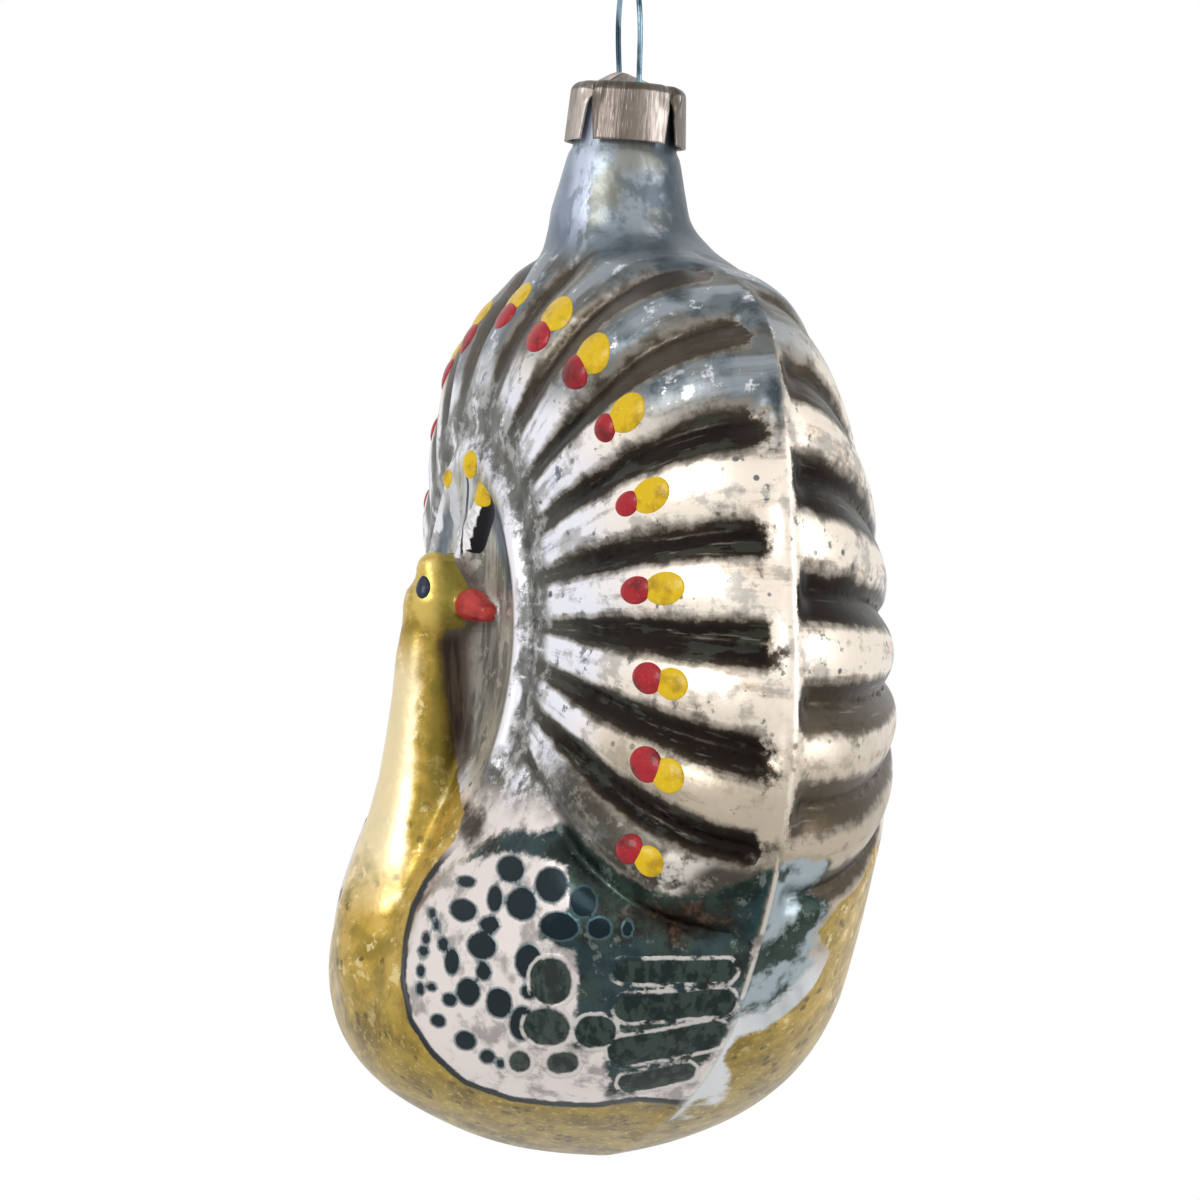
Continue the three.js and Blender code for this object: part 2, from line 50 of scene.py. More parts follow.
# The photograph's view
PHOTO_SIZE = 1200  # pixels
PIXELS_PER_MM = 10.0
CAMERA_AZIMUTH = math.radians(68.0)
CAMERA_DISTANCE = 520.0
CAMERA_ROLL = math.radians(4.0)
AXIS_PIXEL = 593.15  # where the neck axis crosses the middle row of the photograph
MIDDLE_DEPTH = 63.13

# Cap and wire, as in the CAD model
CAP_TOP_DEPTH = 11.5
CAP_CROWN_RISE = 0.45
CAP_HEIGHT = 6.1
CAP_TOP_RADIUS = 5.5
CAP_SKIRT_RADIUS = 5.8
CAP_SHEET = 0.3
CAP_EDGE_ROUND = 0.7
CAP_CROWN_RADIUS = 3.7
CAP_HUMP = (-0.4, -0.9)  # x and y of a raised lump in the crown, beside the wire
CAP_HUMP_RISE = 0.9
CAP_HUMP_WIDTH = 1.9
CAP_RIM_DEPTH = CAP_TOP_DEPTH + CAP_CROWN_RISE
CAP_BOTTOM_DEPTH = CAP_TOP_DEPTH + CAP_HEIGHT
SLOT_HEIGHT = 4.4
SLOT_TOP_DEPTH = CAP_BOTTOM_DEPTH - SLOT_HEIGHT
SLOT_TOP_WIDTH = 0.5
SLOT_BOTTOM_WIDTH = 1.8
SLOT_COUNT = 4
SLOT_START = math.radians(27)
SLOT_EDGE_IN = 0.08  # how far the skirt bends in beside a slot
SLOT_EDGE_WIDTH = 1.0
# The metal folds at the top of each slot: outward beside it, inward and down over it
FOLD_ABOVE = 0.3
FOLD_HEIGHT = 0.9
FOLD_OUT = 0.42
FOLD_OUT_PLACE = 1.0
FOLD_OUT_WIDTH = 0.45
FOLD_IN = 0.45
FOLD_IN_WIDTH = 0.5
FOLD_DOWN = 0.12
FOLD_DOWN_WIDTH = 0.6
# The cap's mesh
CAP_COLUMNS = 192
SLOT_COLUMNS = 4
COLUMNS_PER_SLOT = CAP_COLUMNS // SLOT_COUNT
CROWN_ROWS = 10
EDGE_ROWS = 6
SKIRT_ROWS = 22
CROWN_START = 0.12  # the innermost ring, as a share of the crown
ROUNDING = 1e-6
# Darker under the cap's top edge, and on one side of each slot, as a share of a panel
EDGE_DARKENING = 1.2
EDGE_DARKENING_PLACE = 0.25
EDGE_DARKENING_WIDTH = 0.4
SLOT_DARKENING = 0.7
SLOT_DARKENING_WIDTH = 0.06

WIRE_RADIUS = 0.275
HOLE_SPACING = 5.2
LOOP_HALF_WIDTH = 2.9
LOOP_WIDEST_DEPTH = 6.6
LOOP_TURNS = (0, 25, 50, 70)  # degrees up from the loop's widest place
LEG_LENGTH = 8.5
LEG_SPREAD = 0.35
WIRE_STEPS = 12  # between two knots of the wire

# Glass
GLASS_WALL = 1.35  # thicker than the real wall, so that the mesh stays closed there
MOUTH_DEPTH = 12.6
SHOULDER_DEPTH = 25.3
BOTTOM_DEPTH = 118.6
BORE_DEPTH = 36.0  # how far down the hollow is modelled
BORE_RADIUS = 6.2
EDGE_ROUND = 0.3  # at the mouth and down the bore
BOTTOM_SLOPE = 3.0
FULL_RELIEF_WIDTH = 6.0  # where the body is narrower than this, its relief fades
SEAM_OFFSET = 4.0
SEAM_SHIFT = (24.0, 33.0)
SEAM_HEIGHT = 0.45
SEAM_WIDTH = 0.8
SEAM_FROM = (27.0, 31.0)
# The glass's mesh: a grid, points that move onto the surface, and a few rounds that even them out
GRID_STEP = 0.55
GRID_LOW = (-43.5, -31.5, 11.9)
GRID_HIGH = (43.5, 28.5, 119.6)
NUDGE = 0.04
LEAST_SLOPE = 0.2
LONGEST_MOVE = 0.3
EVENING_SHARE = 0.6

SECTION_STEPS = 4000  # places worked out down the body
NECK_SECTIONS = (
    (12.6, 4.85, 4.85, 4.85),
    (17.6, 5.15, 5.15, 5.15),
    (19.0, 5.65, 5.65, 5.65),
    (22.35, 6.42, 6.42, 6.42),
    (25.3, 7.2, 7.2, 7.2),
)
# Depth below the shoulder's root, half width at the seam, and how far front and back stand off the seam
BODY_SECTIONS = (
    (1.7, 8.6, 8.1, 7.9),
    (3.3, 12.4, 9.4, 8.2),
    (5.7, 20.6, 12.2, 9.4),
    (9.5, 27.4, 15.1, 11.8),
    (14.7, 32.0, 17.3, 14.6),
    (21.7, 35.2, 18.2, 17.9),
    (29.7, 37.7, 18.0, 20.6),
    (37.7, 39.8, 17.6, 22.1),
    (45.7, 41.4, 17.6, 23.0),
    (53.7, 41.8, 18.6, 23.0),
    (61.7, 40.2, 21.8, 22.0),
    (69.7, 36.8, 25.3, 21.4),
    (76.7, 32.4, 26.9, 20.6),
    (82.7, 26.2, 25.8, 18.3),
    (87.3, 18.6, 21.9, 14.4),
    (90.7, 10.8, 15.4, 8.8),
    (92.7, 4.6, 8.4, 2.8),
    (93.3, 0.0, 0.0, 0.0),
)

# Fan
FAN_DEPTH = 65.6
RIB_ANGLES = (0, 19.5, 36.2, 51.2, 66.8, 83, 98, 110.6, 121.6, 132.6)  # crests, degrees from the top
FRONT_GROOVE = 2.0
BACK_GROOVE = 1.8
GROOVE_SHARPNESS = 2.2
GROOVES_FROM = (26.5, 31.0)  # depth
GROOVES_OFF_SEAM = (0.6, 2.6)
FRONT_GROOVE_ROOT = (1.1, 2.2)  # 1 is the rim
BACK_GROOVE_ROOT = (5.0, 18.0)  # distance from the fan's centre
BACK_GROOVES_END = (8.0, 8.5)  # rib
BACK_RIB_SHIFT = 0.5
DARK_BAND_FRONT = 0.55  # place of the dark bands between two crests
DARK_BAND_BACK = 0.05
FRONT_BANDS_FROM = (1.05, 1.2)
FRONT_BANDS_END = (8.4, 8.8)
BACK_BANDS_FROM = (5.0, 16.0)
BANDS_FROM = (27.0, 32.0)
RIM_DEPTH = 69.0
RIM_HALF_WIDTH = 12.8
RIM_UP = 19.0
RIM_DOWN = 26.0
RIM_HEIGHT = 0.7
RIM_WIDTH = 1.1
RIM_TOP_SHARE = 0.3  # of its height, above RIM_FULL_FROM
RIM_FULL_FROM = (54.0, 60.0)
RIM_END = (78.0, 83.0)
RIM_DITCH = 0.5
RIM_DITCH_PLACE = 2.1
RIM_DITCH_WIDTH = 0.9
PANEL_RECESS = 0.4
PANEL_EDGE = 1.9

# Bird: depth, y of the centre line and radius down the neck and breast
BIRD_SPINE = (
    (61.0, -17.0, -1.0),
    (63.5, -17.4, 2.0),
    (66.0, -17.4, 2.4),
    (70.0, -17.3, 3.0),
    (74.0, -17.0, 3.4),
    (78.0, -16.8, 3.9),
    (82.0, -16.5, 4.6),
    (86.0, -16.4, 5.5),
    (90.0, -16.3, 6.8),
    (95.0, -16.0, 8.2),
    (101.0, -15.0, 9.2),
    (107.0, -13.0, 9.2),
    (113.0, -9.0, 7.5),
)
HEAD_TOP = (0.9, -17.4, 61.3)
HEAD_BASE = (0.9, -16.7, 63.9)
HEAD_RADII = (1.8, 3.1)
HEAD_BLEND = 1.8
BEAK_BASE = (4.5, -14.5, 64.5)
BEAK_TIP = (6.9, -13.9, 65.1)
BEAK_RADII = (1.65, 1.0)
BEAK_BLEND = 0.25
BIRD_BLEND = 0.9
NO_BIRD = -3.0  # stands for a radius beyond the ends of the spine
EYE_PLACE = (2.3, 63.1)
EYE_SIZE = (1.2, 0.82)
EYE_TOWARD = (0.4, 1.0)
EYE_THICKNESS = 0.3
WEB_RECESS = 0.8
WEB_REACH = 3.0
CREST_ROOT = (1.0, 59.6)
CREST_TIPS = ((-4.6, 52.2), (1.0, 50.5), (4.0, 53.3))
CREST_HEIGHTS = (2.3, 0.9)
CREST_WIDTH = 1.3
CREST_DROPS = ((-4.6, 52.2), (1.8, 50.7), (4.0, 53.5))
CREST_DROP_SIZES = ((1.0, 1.0), (1.4, 1.2), (1.2, 1.7))
CREST_DROP_THICKNESS = 0.2

# Raised wing, on the side of the body: x and depth
WING_OUTLINE = (
    (12.0, 89.8), (9.6, 94.3), (9.8, 99.3), (11.6, 104.3), (14.2, 109.7), (17.5, 111.9), (22.0, 111.5),
    (28.5, 106.3), (33.0, 100.8), (36.0, 95.3), (37.5, 91.3), (33.7, 89.6), (30.0, 87.9), (26.0, 85.9),
    (20.7, 85.3), (15.5, 86.6),
)
WING_HEIGHT = 0.4
WING_EDGE = 1.4
FAR_WING_FROM = (0.0, 19.0, 33.0, 45.0)
FAR_WING_TO = (0.0, 9.5, 30.0, 45.0)

# Painted marks of the front lie on a chart: how far right a place is in the photograph's view, and its
# depth. The marks of the far side lie further round.
FAR_MARKS_SHIFT = 7.0
FAR_MARKS_ACROSS = (-14.0, 10.0)
FAR_MARKS_DOWN = (84.0, 92.0)
FAR_OFF = 9.0  # stands for a long way from a mark
GOLD_PAST_BIRD = 0.6
# Where the gold lacquer ends on the front, and on the back by x and depth
GOLD_FRONT = (
    (-40.0, 76.0), (-14.5, 76.0), (-12.3, 81.2), (-10.9, 84.1), (-11.7, 87.3), (-14.2, 90.7),
    (-15.6, 93.9), (-16.1, 97.3), (-16.0, 101.1), (-15.0, 104.9), (-12.6, 108.0), (-9.1, 110.8),
    (-4.6, 112.0), (-0.2, 112.2), (3.6, 112.0), (7.9, 111.0), (12.0, 111.3), (20.0, 112.0),
    (20.0, 125.0), (-40.0, 125.0),
)
GOLD_BACK = (
    (-5.0, 77.0), (8.0, 78.0), (18.0, 80.5), (27.0, 84.0), (32.9, 88.0), (35.6, 90.3), (35.9, 92.8),
    (32.9, 94.8), (32.2, 97.3), (32.0, 99.8), (31.9, 101.8), (30.6, 103.9), (28.4, 106.3), (23.8, 109.5),
    (17.5, 113.1), (10.0, 125.0), (-5.0, 125.0),
)
# Dark scales of the wing: place on the chart, half width, half height
WING_SCALES = (
    (-6.0, 89.2, 1.3, 1.2), (-2.0, 90.2, 1.5, 1.6), (-7.3, 92.1, 0.7, 1.2), (-4.7, 92.3, 1.4, 1.5),
    (-10.3, 93.6, 1.3, 1.0), (-10.2, 90.9, 0.9, 0.5), (1.1, 91.5, 1.2, 1.4), (-1.0, 94.0, 1.8, 1.3),
    (-7.6, 94.6, 1.0, 0.7), (2.8, 93.8, 1.1, 1.0), (-8.2, 96.7, 1.4, 1.2), (-3.7, 97.6, 1.2, 1.6),
    (-7.9, 99.1, 0.7, 0.8), (-11.0, 98.6, 0.7, 1.2), (-12.0, 97.0, 0.5, 0.6), (-12.8, 95.4, 0.4, 0.4),
    (-13.3, 94.3, 0.4, 0.4), (-13.7, 96.7, 0.4, 0.6), (-13.9, 98.0, 0.5, 0.5), (-14.0, 99.8, 0.4, 0.6),
    (-13.9, 101.6, 0.4, 0.6), (-12.8, 101.2, 0.5, 0.4), (-9.2, 101.2, 1.1, 1.3), (-11.0, 102.2, 0.7, 0.6),
    (-6.2, 101.9, 1.2, 1.4), (-3.5, 100.5, 0.7, 0.7), (-12.0, 104.4, 0.7, 0.6), (-9.2, 106.0, 1.0, 0.9),
    (-7.0, 107.4, 0.7, 0.7), (-5.7, 108.0, 0.4, 0.5), (-3.9, 103.7, 1.1, 1.7), (5.4, 93.6, 0.5, 0.7),
)
# Outlined scales and flight feathers: from one place to another on the chart, and half width
WING_CELLS = (
    ((5.8, 105.7), (14.4, 103.4), 1.6),
    ((6.6, 109.0), (12.0, 107.5), 1.2),
    ((6.0, 101.3), (14.8, 100.1), 1.5),
    ((5.4, 97.7), (14.8, 97.0), 1.3),
    ((-3.9, 107.5), (-3.9, 107.7), 1.3),
    ((-0.2, 107.4), (0.6, 107.2), 1.4),
    ((-1.8, 103.8), (-1.2, 103.8), 2.1),
    ((-1.4, 99.0), (-1.4, 99.6), 2.2),
    ((2.8, 103.9), (3.4, 103.8), 1.8),
)
# The teal and dark part of the wing on the chart, and on the back by x and depth
TEAL_FRONT = (
    (-10.9, 89.4), (-8.5, 86.7), (-6.0, 85.4), (-3.6, 85.6), (-0.9, 84.4), (4.5, 88.6), (8.3, 90.1),
    (12.1, 89.8), (15.2, 88.5), (18.6, 87.0), (17.4, 94.7), (16.6, 101.1), (14.1, 106.2), (9.8, 109.6),
    (4.7, 110.6), (4.1, 105.4), (1.1, 105.9), (1.2, 100.0), (0.5, 96.5), (-2.7, 95.3), (-2.8, 93.8),
    (-0.3, 92.3), (-0.9, 88.6), (-4.3, 87.7), (-7.8, 88.0),
)
TEAL_BACK = (
    (41.5, 86.0), (38.5, 86.0), (36.4, 89.0), (36.2, 93.0), (34.2, 96.0), (33.0, 101.5), (34.5, 101.5),
    (39.5, 94.0),
)
# Brown patches, the first of them painted shadow under the last rib: place on the chart, half width, half
# height
BROWN_AND_SHADOW_PATCHES = ((10.4, 92.3, 7.0, 2.7), (-10.4, 85.6, 2.4, 2.8))
# The right edge of the neck's gold: depth, and place on the chart. Beyond the neck it is out of the way.
NECK_EDGE = (
    (65.0, 40.0),
    (67.0, -14.2),
    (68.4, -14.5),
    (74.0, -13.4),
    (80.0, -12.3),
    (84.5, -11.2),
    (88.0, 40.0),
)
# Paint of the crest: half width on a feather, how far right of the last feather's middle its white ends,
# the middle and the radius of the black patch of painted dark reflection that follows, and the place of the
# middle feather's dark line
CREST_PAINT = 1.0
CREST_WHITE_END = 0.95
CREST_DARK_REFLECTION = ((2.6, 57.7), (4.4, 54.9))
CREST_DARK_REFLECTION_RADIUS = 1.7
CREST_LINE = 0.3

# Lacquer eyes of the fan, one pair of drops on each crest: rib, distance from the fan's centre of the red
# and the yellow drop, and their half sizes along and across the rib
TAIL_EYES = (
    (0, 30.0, 31.9, (1.6, 2.0), (1.9, 2.3)),
    (1, 29.4, 31.9, (1.7, 2.0), (2.0, 2.5)),
    (2, 30.0, 32.4, (1.6, 2.0), (2.1, 2.3)),
    (3, 30.1, 32.6, (1.3, 1.5), (2.2, 1.9)),
    (4, 29.8, 32.2, (1.5, 1.2), (2.2, 1.7)),
    (5, 29.8, 32.7, (1.9, 1.35), (2.3, 1.6)),
    (6, 32.5, 35.0, (1.9, 1.5), (1.9, 1.5)),
    (7, 35.7, 38.1, (2.0, 1.65), (1.9, 1.6)),
    (8, 39.2, 41.1, (1.4, 1.5), (1.6, 1.4)),
)
RED_THICKNESS = 0.32
YELLOW_THICKNESS = 0.2
FAR_EYES_SHIFT = 0.5  # the far side's pairs lie up to this far in or out
SEED = 7
FRONT_SEARCH = (-32.0, 6.0, 0.1)  # where the glass is looked for along y: from, to and step
PRESS_FROM = 2.0  # how far off the glass a drop starts before it is pressed on
PRESS_REACH = 4.0

# How the streaks of the fan are laid out: stretched across a rib, and apart on its sides and on the back
STREAK_SCALE = 3.0
SIDES_APART = 20.0
BACK_APART = 9.0


def rise(low, high, value):
    """Smooth step from 0 at low to 1 at high"""
    share = np.clip((value - low) / (high - low), 0.0, 1.0)
    return share * share * (3.0 - 2.0 * share)


def bump(distance, width):
    return np.exp(-((distance / width) ** 2))


def soft_max(a, b, blend):
    share = np.clip(0.5 + 0.5 * (a - b) / blend, 0.0, 1.0)
    return b + (a - b) * share + blend * share * (1.0 - share)


def inside_outline(outline, x, depth):
    """Signed distance to a closed outline, positive inside"""
    nearest = np.full(np.shape(x), np.inf)
    inside = np.zeros(np.shape(x), bool)
    for (ax, az), (bx, bz) in zip(outline, outline[1:] + outline[:1]):
        nearest = np.minimum(nearest, to_segment(x, depth, (ax, az), (bx, bz)))
        if az != bz:
            crosses = (az > depth) != (bz > depth)
            inside ^= crosses & (x < ax + (depth - az) / (bz - az) * (bx - ax))
    return np.where(inside, nearest, -nearest)


def to_segment(x, depth, start, end):
    """Distance to a straight line between two points"""
    run = (end[0] - start[0], end[1] - start[1])
    along = ((x - start[0]) * run[0] + (depth - start[1]) * run[1]) / (run[0] ** 2 + run[1] ** 2)
    along = np.clip(along, 0.0, 1.0)
    return np.hypot(x - start[0] - along * run[0], depth - start[1] - along * run[1])


def between(p0, p1, p2, p3, t):
    """A place on the smooth curve from p1 to p2"""
    curve = 2 * p1 + (p2 - p0) * t + (2 * p0 - 5 * p1 + 4 * p2 - p3) * t**2
    return 0.5 * (curve + (3 * p1 - p0 - 3 * p2 + p3) * t**3)


def body_curve(rows, places):
    """Smooth curve through the rows, with a round closed end"""
    rows = np.array(rows, float)
    last = rows[-2] * [1, -1, -1, -1]
    padded = np.vstack([2 * rows[0] - rows[1], rows, last])
    index = np.minimum(places.astype(int), len(rows) - 2)
    t = (places - index)[:, None]
    return between(*(padded[index + k] for k in range(4)), t)


section_rows = NECK_SECTIONS + tuple((row[0] + SHOULDER_DEPTH,) + row[1:] for row in BODY_SECTIONS)
section_table = body_curve(section_rows, np.linspace(0, len(section_rows) - 1, SECTION_STEPS))
section_table[:, 0] = np.maximum.accumulate(section_table[:, 0])


def section(depth):
    """Half width, front and back of the body at a depth"""
    return [np.interp(depth, section_table[:, 0], section_table[:, k]) for k in (1, 2, 3)]


def seam_y(depth):
    return SEAM_OFFSET * rise(*SEAM_SHIFT, depth)


def rib_at(x, depth):
    """Rib number with fractions between the crests, and the distance from the fan's centre"""
    degrees = np.degrees(np.arctan2(np.abs(x), FAN_DEPTH - depth))
    rib = np.interp(degrees, RIB_ANGLES, np.arange(len(RIB_ANGLES)))
    return rib, np.hypot(x, depth - FAN_DEPTH)


def rim_place(x, depth):
    """1 on the oval rim round the bird, less inside it"""
    return np.hypot(x / RIM_HALF_WIDTH, (depth - RIM_DEPTH) / np.where(depth < RIM_DEPTH, RIM_UP, RIM_DOWN))


def rib_strength(x, depth, off_seam, front):
    """Where the grooves between the ribs are cut, 0 to 1"""
    rib, reach = rib_at(x, depth)
    closed = rise(*GROOVES_FROM, depth) * rise(*GROOVES_OFF_SEAM, np.abs(off_seam))
    on_front = rise(*FRONT_GROOVE_ROOT, rim_place(x, depth))
    on_back = rise(*BACK_GROOVE_ROOT, reach) * (1 - rise(*BACK_GROOVES_END, rib))
    return closed * np.where(front, on_front, on_back)


def fan_relief(x, depth, off_seam, front):
    """How far the seam, the rim and the ribs stand off the smooth body"""
    rib, _ = rib_at(x, depth)
    shifted = np.where(front, rib, rib + BACK_RIB_SHIFT)
    groove = np.abs(2 * (shifted - np.round(shifted))) ** GROOVE_SHARPNESS
    cut = rib_strength(x, depth, off_seam, front) * np.where(front, FRONT_GROOVE, BACK_GROOVE)
    off_rim = (rim_place(x, depth) - 1) * RIM_HALF_WIDTH
    height = RIM_HEIGHT * (RIM_TOP_SHARE + (1 - RIM_TOP_SHARE) * rise(*RIM_FULL_FROM, depth))
    rim = height * bump(off_rim, RIM_WIDTH)
    rim -= RIM_DITCH * bump(off_rim - RIM_DITCH_PLACE, RIM_DITCH_WIDTH)
    rim -= PANEL_RECESS * (1 - rise(-PANEL_EDGE, 0.0, off_rim))
    seam = SEAM_HEIGHT * bump(off_seam, SEAM_WIDTH) * rise(*SEAM_FROM, depth)
    return seam - cut * groove + np.where(front, rim * (1 - rise(*RIM_END, depth)), 0.0)


def wing_side(x):
    """Distance from the bird to a place on the wing. The far wing starts further round the body."""
    return np.where(x < 0, np.interp(-x, FAR_WING_FROM, FAR_WING_TO), x)


def marks_place(x, y, depth):
    """How far right a place lies in the photograph's view, with the far side mirrored and further round"""
    right = np.abs(x) * math.cos(CAMERA_AZIMUTH) + y * math.sin(CAMERA_AZIMUTH)
    further = FAR_MARKS_SHIFT * (1 - rise(*FAR_MARKS_ACROSS, right)) * rise(*FAR_MARKS_DOWN, depth)
    return right - np.where(x < 0, further, 0.0)


def scale_distance(across, depth):
    """Signed distance to the wing's dark scales, positive inside one"""
    nearest = np.full(np.shape(across), -FAR_OFF)
    for scale_across, scale_depth, width, height in WING_SCALES:
        off_middle = np.hypot((across - scale_across) / width, (depth - scale_depth) / height)
        nearest = np.maximum(nearest, (width + height) / 2 * (1 - off_middle))
    return nearest


def cell_distance(across, depth):
    """Signed distance to the outlined scales and feathers, positive inside one"""
    return np.maximum.reduce([radius - to_segment(across, depth, a, b) for a, b, radius in WING_CELLS])


def crest_height(x, depth, tip):
    """A crest feather's height above the panel, highest at its root"""
    run = (tip[0] - CREST_ROOT[0], tip[1] - CREST_ROOT[1])
    along = ((x - CREST_ROOT[0]) * run[0] + (depth - CREST_ROOT[1]) * run[1]) / (run[0] ** 2 + run[1] ** 2)
    height = CREST_HEIGHTS[0] + (CREST_HEIGHTS[1] - CREST_HEIGHTS[0]) * np.clip(along, 0.0, 1.0)
    return height * bump(to_segment(x, depth, CREST_ROOT, tip), CREST_WIDTH)


def beside_feather(x, depth, tip):
    """How far right of a crest feather's middle a place is"""
    run = (tip[0] - CREST_ROOT[0], tip[1] - CREST_ROOT[1])
    return (run[0] * (depth - CREST_ROOT[1]) - run[1] * (x - CREST_ROOT[0])) / math.hypot(*run)


def fine_relief(x, depth, front):
    """Crest and wing edge"""
    feathers = [crest_height(x, depth, tip) for tip in CREST_TIPS]
    wing = WING_HEIGHT * rise(0.0, WING_EDGE, inside_outline(WING_OUTLINE, wing_side(x), depth))
    return np.where(front, wing + np.maximum.reduce(feathers), 0.0)


def to_bird(x, y, depth, web=True):
    """Signed distance into the bird's neck, head and breast, and the web of glass behind them"""
    rows = np.array(BIRD_SPINE)
    off_y = y - np.interp(depth, rows[:, 0], rows[:, 1])
    radius = np.interp(depth, rows[:, 0], rows[:, 2], left=NO_BIRD, right=NO_BIRD)
    head_y = y
    if web:
        radius = radius - WEB_RECESS * rise(0.0, WEB_REACH, off_y)
        off_y, head_y = np.minimum(off_y, 0.0), np.minimum(y, HEAD_BASE[1])
    neck = radius - np.hypot(x, off_y)
    head = in_cone(x, head_y, depth, HEAD_TOP, HEAD_BASE, HEAD_RADII)
    return np.minimum(soft_max(neck, head, HEAD_BLEND), -y)


def in_cone(x, y, depth, start, end, radii):
    """Signed distance into a rounded cone between two points"""
    start, end = np.array(start), np.array(end)
    run = end - start
    offset = np.stack(np.broadcast_arrays(x, y, depth), -1) - start
    along = np.clip(offset @ run / (run @ run), 0.0, 1.0)
    radius = radii[0] + (radii[1] - radii[0]) * along
    return radius - np.linalg.norm(offset - along[..., None] * run, axis=-1)


def to_beak(x, y, depth):
    """Signed distance into the beak"""
    return in_cone(x, y, depth, BEAK_BASE, BEAK_TIP, BEAK_RADII)


def field(points, fine=True):
    """Positive inside the glass, with x, y and depth in millimetres"""
    x, y, depth = np.moveaxis(points, -1, 0)
    width, front_off, back_off = section(depth)
    ahead = seam_y(depth) - y
    angle = np.arctan2(x, ahead)
    out = np.hypot(x, ahead)
    front = ahead > 0
    off = np.where(front, front_off, back_off)
    with np.errstate(divide="ignore"):
        radius = 1 / np.hypot(np.sin(angle) / width, np.cos(angle) / off)
    side = radius * np.sin(angle)
    off_seam = radius * np.cos(angle)
    relief = fan_relief(side, depth, off_seam, front)
    if fine:
        relief = relief + fine_relief(side, depth, front)
    body = radius + relief * np.clip(width / FULL_RELIEF_WIDTH, 0.0, 1.0) - out
    body = np.minimum(body, BOTTOM_SLOPE * (BOTTOM_DEPTH - depth))
    whole = soft_max(body, to_bird(x, y, depth), BIRD_BLEND)
    whole = soft_max(whole, to_beak(x, y, depth), BEAK_BLEND)
    bore = np.minimum(np.minimum(width - GLASS_WALL, BORE_RADIUS) - out, BORE_DEPTH - depth)
    glass = -soft_max(-whole, bore, EDGE_ROUND)
    return -soft_max(-glass, MOUTH_DEPTH - depth, EDGE_ROUND)


def surface_net(values, low, step):
    """Vertices and quads of the surface where a grid of values changes sign"""
    inside = values > 0
    shape = np.array(values.shape)
    strides = np.array([shape[1] * shape[2], shape[2], 1])
    cells, places, faces = [], [], []
    for axis in range(3):
        lower = [slice(None)] * 3
        upper = [slice(None)] * 3
        lower[axis], upper[axis] = slice(0, -1), slice(1, None)
        starts = np.argwhere(inside[tuple(lower)] != inside[tuple(upper)])
        ends = starts + np.eye(3, dtype=int)[axis]
        a = values[tuple(starts.T)]
        b = values[tuple(ends.T)]
        crossing = starts + np.eye(3)[axis] * (a / (a - b))[:, None]
        u, v = np.eye(3, dtype=int)[(axis + 1) % 3], np.eye(3, dtype=int)[(axis + 2) % 3]
        around = [(starts - du * u - dv * v) @ strides for du, dv in ((0, 0), (1, 0), (1, 1), (0, 1))]
        flip = a < 0
        quad = np.stack(around, 1)
        quad[flip] = quad[flip][:, ::-1]
        faces.append(quad)
        cells.extend(around)
        places.extend([crossing] * 4)
    cells, places = np.concatenate(cells), np.concatenate(places)
    unique, index = np.unique(cells, return_inverse=True)
    count = np.bincount(index)
    points = np.stack([np.bincount(index, places[:, k]) / count for k in range(3)], 1)
    quads = np.searchsorted(unique, np.concatenate(faces))
    return np.array(low) + step * points, quads


def settle(points, rounds):
    """Moves points onto the surface, and gives its normals there"""
    for _ in range(rounds):
        value = field(points)
        slope = np.empty_like(points)
        for axis in range(3):
            shift = np.eye(3)[axis] * NUDGE
            slope[:, axis] = (field(points + shift) - field(points - shift)) / (2 * NUDGE)
        step = value / np.maximum((slope**2).sum(1), LEAST_SLOPE)
        step = np.clip(step, -LONGEST_MOVE, LONGEST_MOVE)
        points = points - slope * step[:, None]
    return points, -slope / np.linalg.norm(slope, axis=1)[:, None]


def even_out(points, quads, rounds):
    """Moves each point towards the middle of its neighbours"""
    a = quads.ravel()
    b = np.roll(quads, -1, axis=1).ravel()
    count = np.bincount(np.concatenate([a, b]), minlength=len(points))[:, None]
    for _ in range(rounds):
        total = np.empty_like(points)
        for k in range(3):
            total[:, k] = np.bincount(a, points[b, k], len(points))
            total[:, k] += np.bincount(b, points[a, k], len(points))
        points = (1 - EVENING_SHARE) * points + EVENING_SHARE * total / count
    return points


# The glass leans on its hinge, so that its centre of mass hangs under the loop
pivot = np.array(joints["loop_swing"]["pos_m"])
neck_down = np.array(joints["neck_release"]["axis"])
neck_back = np.array([0.0, -neck_down[2], neck_down[1]])


def to_model(points):
    """From the glass's frame in millimetres to the model's frame in metres"""
    points = np.asarray(points, float) * MM
    down = points[..., 2:] + pivot[2]
    return pivot + points[..., :1] * [1, 0, 0] + points[..., 1:2] * neck_back + down * neck_down


def turn_to_model(vectors):
    """Directions from the glass's frame to the model's"""
    vectors = np.asarray(vectors, float)
    return vectors[..., :1] * [1, 0, 0] + vectors[..., 1:2] * neck_back + vectors[..., 2:] * neck_down


def mesh_object(name, points, faces, smooth=True):
    mesh = bpy.data.meshes.new(name)
    mesh.from_pydata(np.asarray(points).tolist(), [], [list(map(int, face)) for face in faces])
    mesh.polygons.foreach_set("use_smooth", [smooth] * len(mesh.polygons))
    mesh.update()
    made = bpy.data.objects.new(name, mesh)
    bpy.context.scene.collection.objects.link(made)
    return made


def set_values(mesh, name, values):
    """Stores a number or a vector for each point of a mesh, for its material"""
    values = np.asarray(values, np.float32)
    kind, key = ("FLOAT", "value") if values.ndim == 1 else ("FLOAT_VECTOR", "vector")
    mesh.attributes.new(name, kind, "POINT").data.foreach_set(key, values.ravel())


